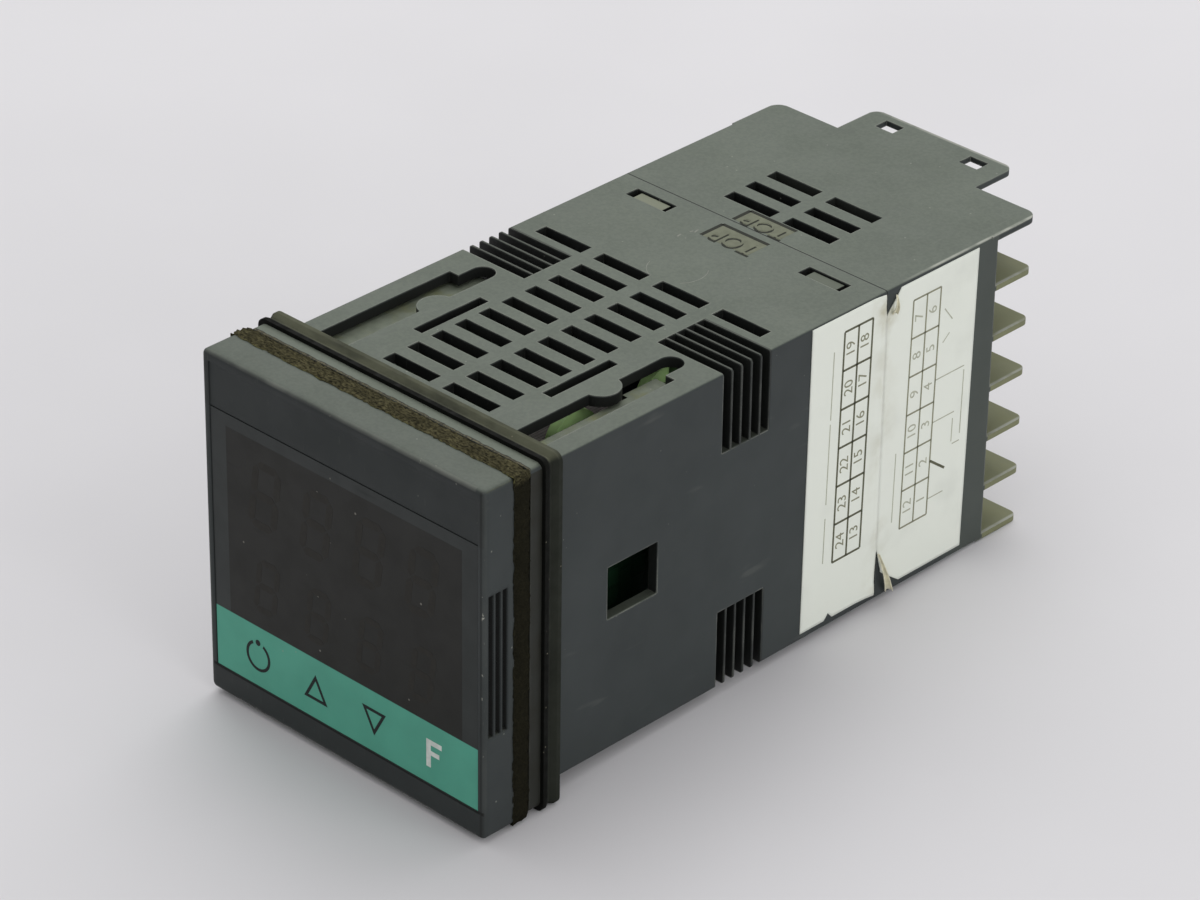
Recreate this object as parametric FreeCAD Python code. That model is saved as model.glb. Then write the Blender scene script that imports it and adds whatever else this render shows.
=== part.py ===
"""Panel-mounted temperature controller: a plug-in module in a moulded sleeve with rear screw terminals.

Millimetres. +X is right as seen from the front, +Y points to the rear and +Z is up. The origin is the centre
of the panel opening, in the plane where the panel gasket meets the panel.
"""
import FreeCAD, Part
import math
import os

from FreeCAD import Vector

# The two sizes that drive the rest: the square front, and the sleeve's depth behind the panel
BEZEL_SIZE = 48.0
CASE_END_Y = 59.0

# Front stack, from the panel plane forwards
GASKET_THICK = 2.8
GASKET_PROUD = 0.4
GASKET_VALLEY = 0.45
GASKET_LIP = 0.6
GASKET_CORNER = 1.2
GASKET_CLEARANCE = 0.2
FLANGE_THICK = 1.9
FLANGE_INSET = 0.15
FLANGE_CORNER = 1.0
FOAM_THICK = 2.75
FOAM_INSET = 0.3
FOAM_CLEARANCE = 0.5
BEZEL_DEPTH = 4.85
BEZEL_CORNER = 0.8
BEZEL_EDGE = 0.5

# Case sleeve
CASE_INSET = 1.7
CASE_WALL = 1.5
CASE_CORNER = 0.4

# Slots in the top and bottom of the case
VENT_LENGTH = 8.0
VENT_WIDTH = 2.0
VENT_PITCH_X = 10.1
VENT_PITCH_Y = 4.0
VENT_FIRST_Y = 4.25
VENT_ROWS = 10

# Thin fins across the corner openings
CORNER_SLOTS = 5
CORNER_SLOT_WIDTH = 1.42
CORNER_FIN_THICK = 0.28
CORNER_FIRST_Y = 29.5
CORNER_REACH = 11.0

# Keyholes for the panel clamps, each with a spring strip and a bump
KEYHOLE_EDGE = 3.15
KEYHOLE_WIDE = 4.8
KEYHOLE_NARROW = 3.25
KEYHOLE_FRONT_Y = 0.7
KEYHOLE_STEP_Y = 24.35
KEYHOLE_END_Y = 28.6
BUMP_RADIUS = 2.6
BUMP_REACH = 2.1
BUMP_Y = 17.1
STRIP_WIDTH = 2.6
RELIEF_Y = 16.6
RELIEF_WIDTH = 1.55
RELIEF_LENGTH = 11.4
LEDGE_DEPTH = 2.0
LEDGE_THICK = 0.8
LEDGE_SETBACK = 1.35
SHELF_SETBACK = 0.5
SHELF_FRONT_Y = 19.8
SHELF_REAR_Y = 25.5
LEDGE_END_SETBACK = 2.4

# Square windows in the sides of the case
WINDOW_FRONT_Y = 9.95
WINDOW_LENGTH = 8.6
WINDOW_HEIGHT = 7.3

# Guide rails for the circuit boards
RAIL_HEIGHT = 1.2
RAIL_THICK = 1.0
RAIL_LENGTH = 9.0
RAIL_SPIGOT_GAP = 1.5
RAIL_CLEARANCE = 0.25

# Latches between the case and the rear block
LATCH_EDGE = 7.55
LATCH_REAR_GAP = 2.1
LATCH_SLOT_LENGTH = 6.9
LATCH_SLOT_WIDTH = 2.2
TONGUE_LENGTH = 5.0
TONGUE_CLEARANCE = 0.2
TONGUE_DROP = 0.3

# Rear block
BLOCK_LENGTH = 21.0
BLOCK_REAR_WALL = 3.0
SPIGOT_LENGTH = 6.2
SPIGOT_WALL = 0.9
SPIGOT_CLEARANCE = 0.15
BLOCK_VENT_FIRST = 5.05
BLOCK_VENT_ROWS = 3
BARRIER_BAYS = 6
BARRIER_THICK = 0.75
BARRIER_REACH = 7.3
BARRIER_CORNER = 1.2
PLATE_THICK = 0.8
PLATE_REACH = 7.85
PLATE_CORNER = 1.8
TAB_WIDTH = 23.6
TAB_REACH = 7.65
TAB_CORNER = 1.5
TIE_HOLE_X = 7.2
TIE_HOLE_LENGTH = 3.0
TIE_HOLE_WIDTH = 2.3
TIE_HOLE_INSET = 2.6

# Screw terminals; their small round forms have flats, since there are many of them
TERMINAL_SIDES = 8
PRESS_CLEARANCE = 0.02
POST_SIZE = 4.4
POST_PROUD = 0.2
POST_INSIDE = 1.3
POST_FLOOR = 0.5
BLADE_THICK = 0.8
BLADE_WIDTH = 1.6
BLADE_LENGTH = 5.9
WASHER_WIDTH = 6.0
WASHER_FIN_GAP = 0.3
WASHER_THICK = 0.6
WASHER_HOLE_CLEARANCE = 0.1
SCREW_RADIUS = 1.5
SCREW_LENGTH = 4.2
SCREW_HEAD_RADIUS = 2.6
SCREW_HEAD_HEIGHT = 1.5
SCREW_SLOT_WIDTH = 0.8
SCREW_SLOT_DEPTH = 0.8

# Paper label on the right side, torn where it crosses the seam
LABEL_LEAD = 14.1
LABEL_LENGTH = 31.4
LABEL_TOP_EDGE = 0.4
LABEL_BOTTOM_EDGE = 1.05
LABEL_THICK = 0.12
TEAR_TOP_DEPTH = 2.4
TEAR_TOP_WIDTH = 3.4
TEAR_BOTTOM_DEPTH = 6.2
TEAR_BOTTOM_WIDTH = 4.6
TEAR_LEAD = 0.8
NICK_OFFSET = 5.2
NICK_DEPTH = 0.9
NICK_WIDTH = 0.7

# Film and name band on the front, set in from the edges of the bezel
FILM_SIDE = 1.2
FILM_TOP_EDGE = 7.6
FILM_BOTTOM_EDGE = 3.8
FILM_THICK = 0.25
FILM_RECESS = 0.35
FILM_CLEARANCE = 0.12
BAND_EDGE = 1.4
BAND_RECESS = 0.15

# Bezel inside, and the grip grooves in its sides
FRONT_WALL = 1.5
SKIRT_WALL = 1.0
SKIRT_LEDGE_GAP = 0.4
SKIRT_CLEARANCE = 0.25
GRIP_GROOVES = 3
GRIP_PITCH = 1.15
GRIP_WIDTH = 0.85
GRIP_DEPTH = 0.7
GRIP_HEIGHT = 19.6
GRIP_FIRST = 1.05

# Keys and their switches
KEY_NAMES = ("cycle", "up", "down", "function")
KEY_INSET = 7.44
KEY_RISE = 4.2
KEY_WIDTH = 6.2
KEY_HEIGHT = 4.2
KEY_CLEARANCE = 0.15
KEY_FILM_GAP = 0.05
KEY_COLLAR = 0.7
KEY_COLLAR_THICK = 0.6
KEY_COLLAR_GAP = 0.1
KEY_TRAVEL = 0.3
SWITCH_SIZE = 6.0
SWITCH_HEIGHT = 3.5
STEM_WIDTH = 3.4
STEM_CLEARANCE = 0.05
STEM_DEPTH = 0.5

# Displays and their board
DISPLAY_SIDE = 3.8
DISPLAY_TOP_EDGE = 2.2
DISPLAY_BOTTOM_EDGE = 9.2
DISPLAY_GAP = 0.4
DISPLAY_UPPER_SHARE = 0.536
DISPLAY_DEPTH = 6.4
DISPLAY_FILM_GAP = 0.15
DISPLAY_CLEARANCE = 0.3
DIGIT_WELLS = 4
DIGIT_WELL_GAP = 1.9
DIGIT_WELL_MARGIN = 1.4
DIGIT_WELL_DEPTH = 0.5
BOARD_THICK = 1.6
DISPLAY_BOARD_CLEARANCE = 0.2

# Upright circuit boards and what they carry, from the rear forwards
BOARD_INSET = 7.1
BOARD_EDGE_CLEARANCE = 0.55
BOARD_LOW_EDGE = 3.3
BOARD_STEP_GAP = 1.4
BOARD_TAIL_CLEARANCE = 0.4
BOARD_NECK_GAP = 0.6
BOARD_TAIL_GAP = 1.5
BOARD_POST_GAP = 3.1
HEADER_SIZE = 2.5
HEADER_LENGTH = 20.0
SOCKET_WIDTH = 5.0
SOCKET_BLADE_OFFSET = 2.8
SOCKET_LENGTH = 9.8
SOCKET_POST_GAP = 0.6
SOCKET_END_MARGIN = 0.9
SOCKET_HOLE_CLEARANCE = 0.08
SOCKET_HOLE_SPARE = 0.6
BRACE_WIDTH = 3.0
BRACE_HEIGHT = 10.0
BRACE_SETBACK = 13.5
CAPACITOR_RADIUS = 5.0
CAPACITOR_GAP = 1.0
CAPACITOR_BRACE_GAP = 1.5
CAPACITOR_RELAY_GAP = 3.8
RELAY_HEIGHT = 10.0
RELAY_LENGTH = 19.0
RELAY_WIDTH = 12.5
RELAY_GAP = 2.5
RELAY_BRACE_GAP = 5.5
RELAY_EDGE = 0.8
CORE_STACK = 9.0
CORE_LENGTH = 24.0
CORE_HEIGHT = 20.0
CORE_LEG = 3.0
CORE_CAPACITOR_GAP = 4.0
WINDING_BUILD = 3.5
WINDING_CLEARANCE = 0.15
WINDING_CORNER = 2.0
DISC_RADIUS = 3.95
DISC_THICK = 1.4
DISC_FRONT_Y = 13.9
DISC_PITCH = 15.5
DISC_EDGE = 5.1
PROCESSOR_SIZE = 10.0
PROCESSOR_THICK = 1.6
PROCESSOR_Y = 22.0

# Sizes and places that follow from those above
FRONT_HALF = BEZEL_SIZE / 2
GASKET_SIZE = BEZEL_SIZE + 2 * GASKET_PROUD
FLANGE_SIZE = BEZEL_SIZE - 2 * FLANGE_INSET
FOAM_SIZE = BEZEL_SIZE - 2 * FOAM_INSET
CASE_SIZE = BEZEL_SIZE - 2 * CASE_INSET
CASE_HALF = CASE_SIZE / 2
CAVITY_SIZE = CASE_SIZE - 2 * CASE_WALL
CAVITY_HALF = CAVITY_SIZE / 2
GASKET_FRONT_Y = -GASKET_THICK
FLANGE_FRONT_Y = GASKET_FRONT_Y - FLANGE_THICK
FOAM_FRONT_Y = FLANGE_FRONT_Y - FOAM_THICK
BEZEL_FRONT_Y = FOAM_FRONT_Y - BEZEL_DEPTH
KEYHOLE_INNER_X = CASE_HALF - KEYHOLE_EDGE - KEYHOLE_WIDE
BLOCK_END_Y = CASE_END_Y + BLOCK_LENGTH
SPIGOT_SIZE = CAVITY_SIZE - 2 * SPIGOT_CLEARANCE
SPIGOT_FRONT_Y = CASE_END_Y - SPIGOT_LENGTH
RAIL_FRONT_Y = SPIGOT_FRONT_Y - RAIL_SPIGOT_GAP - RAIL_LENGTH
BLOCK_INNER = SPIGOT_SIZE - 2 * SPIGOT_WALL
BARRIER_PITCH = (CASE_SIZE - BARRIER_THICK) / BARRIER_BAYS
LATCH_X = CASE_HALF - LATCH_EDGE
LATCH_Y = CASE_END_Y - LATCH_REAR_GAP - LATCH_SLOT_WIDTH / 2
LABEL_FRONT_Y = CASE_END_Y - LABEL_LEAD
LABEL_TOP_Z = CASE_HALF - LABEL_TOP_EDGE
LABEL_BOTTOM_Z = LABEL_BOTTOM_EDGE - CASE_HALF
FILM_WIDTH = BEZEL_SIZE - 2 * FILM_SIDE
FILM_TOP_Z = FRONT_HALF - FILM_TOP_EDGE
FILM_BOTTOM_Z = FILM_BOTTOM_EDGE - FRONT_HALF
BAND_TOP_Z = FRONT_HALF - BAND_EDGE
FILM_FLOOR_Y = BEZEL_FRONT_Y + FILM_RECESS
FRONT_WALL_Y = FILM_FLOOR_Y + FRONT_WALL
SKIRT_SIZE = CAVITY_SIZE - 2 * SKIRT_CLEARANCE
SKIRT_INNER = SKIRT_SIZE - 2 * SKIRT_WALL
SKIRT_END_Y = KEYHOLE_FRONT_Y - SKIRT_LEDGE_GAP
DISPLAY_WIDTH = FILM_WIDTH - 2 * DISPLAY_SIDE
DISPLAY_TOP_Z = FILM_TOP_Z - DISPLAY_TOP_EDGE
DISPLAY_BOTTOM_Z = FILM_BOTTOM_Z + DISPLAY_BOTTOM_EDGE
DISPLAY_HEIGHTS = DISPLAY_TOP_Z - DISPLAY_BOTTOM_Z - DISPLAY_GAP
UPPER_DISPLAY_Z = (DISPLAY_TOP_Z - DISPLAY_UPPER_SHARE * DISPLAY_HEIGHTS, DISPLAY_TOP_Z)
LOWER_DISPLAY_Z = (DISPLAY_BOTTOM_Z, UPPER_DISPLAY_Z[0] - DISPLAY_GAP)
DISPLAY_FRONT_Y = FILM_FLOOR_Y + DISPLAY_FILM_GAP
DISPLAY_BOARD_Y = DISPLAY_FRONT_Y + DISPLAY_DEPTH
BOARD_FRONT_Y = DISPLAY_BOARD_Y + BOARD_THICK
BOARD_X = CAVITY_HALF - BOARD_INSET
BOARD_INNER_X = BOARD_X - BOARD_THICK / 2
BOARD_OUTER_X = BOARD_X + BOARD_THICK / 2
POST_FRONT_Y = BLOCK_END_Y - BLOCK_REAR_WALL - POST_INSIDE
POST_REAR_Y = BLOCK_END_Y + POST_PROUD
WASHER_REAR_Y = POST_REAR_Y + WASHER_THICK
WASHER_HEIGHT = BARRIER_PITCH - BARRIER_THICK - 2 * WASHER_FIN_GAP
BOARD_END_Y = POST_FRONT_Y - BOARD_POST_GAP
BRACE_FRONT_Y = BOARD_END_Y - BRACE_SETBACK
CAPACITOR_PITCH = 2 * CAPACITOR_RADIUS + CAPACITOR_GAP
CAPACITOR_HEIGHT = 2 * BOARD_INNER_X - RELAY_HEIGHT - CAPACITOR_RELAY_GAP
CAPACITOR_Y = BRACE_FRONT_Y - CAPACITOR_BRACE_GAP - CAPACITOR_RADIUS - CAPACITOR_PITCH
RELAY_FRONT_Y = BRACE_FRONT_Y - RELAY_BRACE_GAP - RELAY_LENGTH
CORE_FRONT_Y = CAPACITOR_Y - CAPACITOR_RADIUS - CORE_CAPACITOR_GAP - CORE_LENGTH
KEY_Z = FILM_BOTTOM_Z + KEY_RISE
KEY_PITCH = (FILM_WIDTH - 2 * KEY_INSET) / (len(KEY_NAMES) - 1)
KEY_PLACES = {name: KEY_INSET - FILM_WIDTH / 2 + index * KEY_PITCH for index, name in enumerate(KEY_NAMES)}
KEY_FRONT_Y = FILM_FLOOR_Y + KEY_FILM_GAP
KEY_COLLAR_Y = FRONT_WALL_Y + KEY_COLLAR_GAP
KEY_REAR_Y = KEY_COLLAR_Y + KEY_COLLAR_THICK
SWITCH_FRONT_Y = DISPLAY_BOARD_Y - SWITCH_HEIGHT
ROW_PLACES = [(row - (BARRIER_BAYS - 1) / 2) * BARRIER_PITCH for row in range(BARRIER_BAYS)]
COLUMN_OFFSET = BOARD_THICK / 2 + SOCKET_BLADE_OFFSET
COLUMN_PLACES = [side * (BOARD_X + step * COLUMN_OFFSET) for side in (-1, 1) for step in (-1, 1)]

# How far a cutting tool runs past the face that it cuts
OVERCUT = 1.0


def block(x_span, y_span, z_span):
    """A box between two values on each axis."""
    low = Vector(min(x_span), min(y_span), min(z_span))
    high = Vector(max(x_span), max(y_span), max(z_span))
    size = high - low
    return Part.makeBox(size.x, size.y, size.z, low)


def flat_sided_rod(radius, y_span, x, z):
    """A bar along Y whose flat sides stand in for a round, with its corners on the circle."""
    corners = []
    for index in range(TERMINAL_SIDES):
        angle = 2 * math.pi * (index + 0.5) / TERMINAL_SIDES
        corners.append(Vector(x + radius * math.cos(angle), y_span[0], z + radius * math.sin(angle)))
    face = Part.Face(Part.makePolygon(corners + corners[:1]))
    return face.extrude(Vector(0, y_span[1] - y_span[0], 0))


def centred(size, middle=0.0):
    """The span of a size about its middle."""
    return (middle - size / 2, middle + size / 2)


def rounded_outline(size, y, radius):
    """A square wire with round corners, facing along Y."""
    half = size / 2
    inset = half - radius
    bulge = inset + radius * 0.5 ** 0.5
    corners = [(1, 1), (-1, 1), (-1, -1), (1, -1)]
    edges = []
    starts = []
    ends = []
    for index, (sx, sz) in enumerate(corners):
        along_x = Vector(sx * inset, y, sz * half)
        along_z = Vector(sx * half, y, sz * inset)
        first, last = (along_z, along_x) if index % 2 == 0 else (along_x, along_z)
        edges.append(Part.Arc(first, Vector(sx * bulge, y, sz * bulge), last).toShape())
        starts.append(first)
        ends.append(last)
    sides = [Part.makeLine(ends[index], starts[(index + 1) % 4]) for index in range(4)]
    ordered = [edge for pair in zip(edges, sides) for edge in pair]
    return Part.Wire(ordered)


def tube_block(size, y_span, radius):
    """A square bar along Y with round corners."""
    face = Part.Face(rounded_outline(size, y_span[0], radius))
    return face.extrude(Vector(0, y_span[1] - y_span[0], 0))


def mirrored_x(shape):
    return shape.mirror(Vector(0, 0, 0), Vector(1, 0, 0))


def mirrored_z(shape):
    return shape.mirror(Vector(0, 0, 0), Vector(0, 0, 1))


def both_sides(shapes):
    """The shapes and their mirror images across the middle plane."""
    return shapes + [mirrored_x(shape) for shape in shapes]


def four_ways(shapes):
    """The shapes at all four corners: left and right, top and bottom."""
    halves = both_sides(shapes)
    return halves + [mirrored_z(shape) for shape in halves]


def round_edges(shape, radius, wanted):
    """Fillet the edges whose middle and direction pass a test."""
    chosen = []
    for edge in shape.Edges:
        middle = edge.valueAt((edge.FirstParameter + edge.LastParameter) / 2)
        direction = edge.tangentAt(edge.FirstParameter)
        if wanted(middle, direction):
            chosen.append(edge)
    return shape.makeFillet(radius, chosen)


def save(name, shape):
    """Write one named piece; a list of solids becomes a group."""
    if isinstance(shape, list):
        shape = Part.makeCompound(shape)
    shape.exportStep("parts/" + name + ".step")


def vent_slots(rows, first_y, z_span):
    """Two columns of straight slots, in rows along Y."""
    slots = []
    for row in range(rows):
        y_span = centred(VENT_WIDTH, first_y + row * VENT_PITCH_Y)
        slots.append(block(centred(VENT_LENGTH, VENT_PITCH_X / 2), y_span, z_span))
    return slots


def keyhole_cut(z_span):
    """The clamp keyhole: a wide mouth, a narrow round end, and a spring bump left standing."""
    outer_x = KEYHOLE_INNER_X + KEYHOLE_WIDE
    end_radius = KEYHOLE_NARROW / 2
    end_x = KEYHOLE_INNER_X + end_radius
    end_y = KEYHOLE_END_Y - end_radius
    mouth = block((KEYHOLE_INNER_X, outer_x), (KEYHOLE_FRONT_Y, KEYHOLE_STEP_Y), z_span)
    throat = block((KEYHOLE_INNER_X, KEYHOLE_INNER_X + KEYHOLE_NARROW), (KEYHOLE_STEP_Y, end_y), z_span)
    height = z_span[1] - z_span[0]
    round_end = Part.makeCylinder(end_radius, height, Vector(end_x, end_y, z_span[0]))
    bump_x = KEYHOLE_INNER_X + BUMP_REACH - BUMP_RADIUS
    bump = Part.makeCylinder(BUMP_RADIUS, height, Vector(bump_x, BUMP_Y, z_span[0]))
    return mouth.fuse([throat, round_end]).removeSplitter().cut(bump)


def make_ledge():
    """The floor under a keyhole: it reaches furthest in behind the bump, and least under the narrow end."""
    ledge_x = KEYHOLE_INNER_X + LEDGE_SETBACK
    shelf_x = KEYHOLE_INNER_X + SHELF_SETBACK
    end_x = KEYHOLE_INNER_X + LEDGE_END_SETBACK
    outline = [
        (CAVITY_HALF, KEYHOLE_FRONT_Y),
        (CAVITY_HALF, KEYHOLE_END_Y),
        (end_x, KEYHOLE_END_Y),
        (end_x, SHELF_REAR_Y),
        (shelf_x, SHELF_REAR_Y),
        (shelf_x, SHELF_FRONT_Y),
        (ledge_x, SHELF_FRONT_Y),
        (ledge_x, KEYHOLE_FRONT_Y),
    ]
    points = [Vector(x, y, CASE_HALF - LEDGE_DEPTH - LEDGE_THICK) for x, y in outline]
    return Part.Face(Part.makePolygon(points + points[:1])).extrude(Vector(0, 0, LEDGE_THICK))


def make_case():
    """The sleeve with its flange, ledges, rails, vents, keyholes, windows and latch slots."""
    sleeve = tube_block(CASE_SIZE, (FLANGE_FRONT_Y, CASE_END_Y), CASE_CORNER)
    flange = tube_block(FLANGE_SIZE, (FLANGE_FRONT_Y, GASKET_FRONT_Y), FLANGE_CORNER)
    bore = block(centred(CAVITY_SIZE), (FLANGE_FRONT_Y - OVERCUT, CASE_END_Y + OVERCUT), centred(CAVITY_SIZE))
    shell = sleeve.fuse(flange).removeSplitter().cut(bore)

    rails = []
    for inner_x in (BOARD_INNER_X - RAIL_CLEARANCE - RAIL_THICK, BOARD_OUTER_X + RAIL_CLEARANCE):
        x_span = (inner_x, inner_x + RAIL_THICK)
        y_span = (RAIL_FRONT_Y, RAIL_FRONT_Y + RAIL_LENGTH)
        rails.append(block(x_span, y_span, (CAVITY_HALF - RAIL_HEIGHT, CAVITY_HALF)))
    shell = shell.fuse(four_ways([make_ledge()] + rails))

    wall_span = (CAVITY_HALF, CASE_HALF + OVERCUT)
    cuts = vent_slots(VENT_ROWS, VENT_FIRST_Y, wall_span)
    last_row_y = VENT_FIRST_Y + (VENT_ROWS - 1) * VENT_PITCH_Y
    cuts.append(block(centred(VENT_LENGTH, 1.5 * VENT_PITCH_X), centred(VENT_WIDTH, last_row_y), wall_span))
    corner_span = (CASE_HALF - CORNER_REACH, CASE_HALF + OVERCUT)
    for index in range(CORNER_SLOTS):
        front_y = CORNER_FIRST_Y + index * (CORNER_SLOT_WIDTH + CORNER_FIN_THICK)
        cuts.append(block(corner_span, (front_y, front_y + CORNER_SLOT_WIDTH), corner_span))
    cuts.append(keyhole_cut(wall_span))
    relief_x = KEYHOLE_INNER_X - STRIP_WIDTH
    cuts.append(block((relief_x - RELIEF_WIDTH, relief_x), centred(RELIEF_LENGTH, RELIEF_Y), wall_span))
    cuts.append(block(centred(LATCH_SLOT_LENGTH, LATCH_X), centred(LATCH_SLOT_WIDTH, LATCH_Y), wall_span))
    shell = shell.cut(four_ways(cuts))

    window_y = (WINDOW_FRONT_Y, WINDOW_FRONT_Y + WINDOW_LENGTH)
    window = block(wall_span, window_y, centred(WINDOW_HEIGHT))
    return shell.cut(both_sides([window]))


def make_panel_gasket():
    """A rubber ring with a lip at each face and a shallow valley between them."""
    valley = GASKET_SIZE - 2 * GASKET_VALLEY
    sections = [
        rounded_outline(GASKET_SIZE, GASKET_FRONT_Y, GASKET_CORNER),
        rounded_outline(GASKET_SIZE, GASKET_FRONT_Y + GASKET_LIP, GASKET_CORNER),
        rounded_outline(valley, -GASKET_THICK / 2, GASKET_CORNER - GASKET_VALLEY),
        rounded_outline(GASKET_SIZE, -GASKET_LIP, GASKET_CORNER),
        rounded_outline(GASKET_SIZE, 0.0, GASKET_CORNER),
    ]
    ring = Part.makeLoft(sections, True, True)
    inner = CASE_SIZE + 2 * GASKET_CLEARANCE
    return ring.cut(tube_block(inner, (GASKET_FRONT_Y - OVERCUT, OVERCUT), CASE_CORNER))


def make_rear_block():
    """The terminal moulding: spigot with latch tongues, hollow body, barrier fins, top plate and tie tab."""
    body = tube_block(CASE_SIZE, (CASE_END_Y, BLOCK_END_Y), CASE_CORNER)
    spigot = tube_block(SPIGOT_SIZE, (SPIGOT_FRONT_Y, CASE_END_Y), CASE_CORNER)
    tongue = block(
        centred(TONGUE_LENGTH, LATCH_X),
        centred(LATCH_SLOT_WIDTH - 2 * TONGUE_CLEARANCE, LATCH_Y),
        (BLOCK_INNER / 2, CASE_HALF - TONGUE_DROP),
    )
    fins = []
    for index in range(BARRIER_BAYS):
        middle_z = (index - BARRIER_BAYS / 2) * BARRIER_PITCH
        reach = (BLOCK_END_Y - OVERCUT, BLOCK_END_Y + BARRIER_REACH)
        fin = block(centred(CASE_SIZE), reach, centred(BARRIER_THICK, middle_z))
        fins.append(round_edges(fin, BARRIER_CORNER, lambda p, d: abs(d.z) > 0.9 and p.y > BLOCK_END_Y))

    plate_z = (CASE_HALF - PLATE_THICK, CASE_HALF)
    plate_end = BLOCK_END_Y + PLATE_REACH
    tab_end = plate_end + TAB_REACH
    plate = block(centred(CASE_SIZE), (BLOCK_END_Y - OVERCUT, plate_end), plate_z)
    plate = round_edges(plate, PLATE_CORNER, lambda p, d: abs(d.z) > 0.9 and p.y > BLOCK_END_Y)
    tab = block(centred(TAB_WIDTH), (BLOCK_END_Y, tab_end), plate_z)
    tab = round_edges(tab, TAB_CORNER, lambda p, d: abs(d.z) > 0.9 and p.y > plate_end)

    moulding = body.fuse([spigot] + four_ways([tongue]) + fins + [plate, tab]).removeSplitter()
    inner_end = BLOCK_END_Y - BLOCK_REAR_WALL
    hollow = block(centred(BLOCK_INNER), (SPIGOT_FRONT_Y - OVERCUT, inner_end), centred(BLOCK_INNER))
    cuts = [hollow]
    wall_span = (BLOCK_INNER / 2, CASE_HALF + OVERCUT)
    cuts += four_ways(vent_slots(BLOCK_VENT_ROWS, CASE_END_Y + BLOCK_VENT_FIRST, wall_span))
    tie_y = centred(TIE_HOLE_WIDTH, tab_end - TIE_HOLE_INSET)
    tie_z = (plate_z[0] - OVERCUT, plate_z[1] + OVERCUT)
    cuts += both_sides([block(centred(TIE_HOLE_LENGTH, TIE_HOLE_X), tie_y, tie_z)])
    hole_span = (POST_FRONT_Y - OVERCUT, BLOCK_END_Y + OVERCUT)
    hole_size = POST_SIZE + 2 * PRESS_CLEARANCE
    cuts += at_terminals(lambda x, z: block(centred(hole_size, x), hole_span, centred(hole_size, z)))
    return moulding.cut(cuts)


def at_terminals(make):
    """One solid from a maker at every screw terminal."""
    return [make(x, z) for x in COLUMN_PLACES for z in ROW_PLACES]


def make_post(x, z):
    """A pressed-in post: a tapped square barrel at the rear and a contact blade at the front."""
    barrel = block(centred(POST_SIZE, x), (POST_FRONT_Y, POST_REAR_Y), centred(POST_SIZE, z))
    blade_y = (POST_FRONT_Y - BLADE_LENGTH, POST_FRONT_Y)
    blade = block(centred(BLADE_THICK, x), blade_y, centred(BLADE_WIDTH, z))
    tapped_y = (POST_FRONT_Y + POST_FLOOR, POST_REAR_Y + OVERCUT)
    return barrel.fuse(blade).cut(flat_sided_rod(SCREW_RADIUS + PRESS_CLEARANCE, tapped_y, x, z))


def make_washer(x, z):
    """A square wire clamp under the screw's head."""
    plate = block(centred(WASHER_WIDTH, x), (POST_REAR_Y, WASHER_REAR_Y), centred(WASHER_HEIGHT, z))
    hole_span = (POST_REAR_Y - OVERCUT, WASHER_REAR_Y + OVERCUT)
    return plate.cut(flat_sided_rod(SCREW_RADIUS + WASHER_HOLE_CLEARANCE, hole_span, x, z))


def make_screw(x, z):
    """A slotted terminal screw."""
    head_end = WASHER_REAR_Y + SCREW_HEAD_HEIGHT
    head = flat_sided_rod(SCREW_HEAD_RADIUS, (WASHER_REAR_Y, head_end), x, z)
    shank = flat_sided_rod(SCREW_RADIUS, (WASHER_REAR_Y - SCREW_LENGTH, WASHER_REAR_Y), x, z)
    slot = block(
        centred(2 * SCREW_HEAD_RADIUS + OVERCUT, x),
        (head_end - SCREW_SLOT_DEPTH, head_end + OVERCUT),
        centred(SCREW_SLOT_WIDTH, z),
    )
    return head.fuse(shank).cut(slot)


def make_label():
    """The paper label, with a tear at each end of the seam and a nick in its lower edge."""
    top = LABEL_TOP_Z
    bottom = LABEL_BOTTOM_Z
    rear_y = LABEL_FRONT_Y + LABEL_LENGTH
    tear_y = CASE_END_Y - TEAR_LEAD
    nick_y = LABEL_FRONT_Y + NICK_OFFSET
    outline = [
        (LABEL_FRONT_Y, top),
        (tear_y, top),
        (CASE_END_Y, top - TEAR_TOP_DEPTH),
        (CASE_END_Y + TEAR_TOP_WIDTH, top - TEAR_TOP_DEPTH / 2),
        (CASE_END_Y + TEAR_TOP_WIDTH, top),
        (rear_y, top),
        (rear_y, bottom),
        (CASE_END_Y + TEAR_BOTTOM_WIDTH, bottom),
        (CASE_END_Y + TEAR_BOTTOM_WIDTH / 2, bottom + TEAR_BOTTOM_DEPTH / 2),
        (CASE_END_Y, bottom + TEAR_BOTTOM_DEPTH),
        (tear_y, bottom),
        (nick_y + NICK_WIDTH, bottom),
        (nick_y, bottom + NICK_DEPTH),
        (nick_y - NICK_WIDTH, bottom),
        (LABEL_FRONT_Y, bottom),
    ]
    points = [Vector(CASE_HALF, y, z) for y, z in outline]
    sheet = Part.Face(Part.makePolygon(points + points[:1]))
    return sheet.extrude(Vector(LABEL_THICK, 0, 0))


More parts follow.
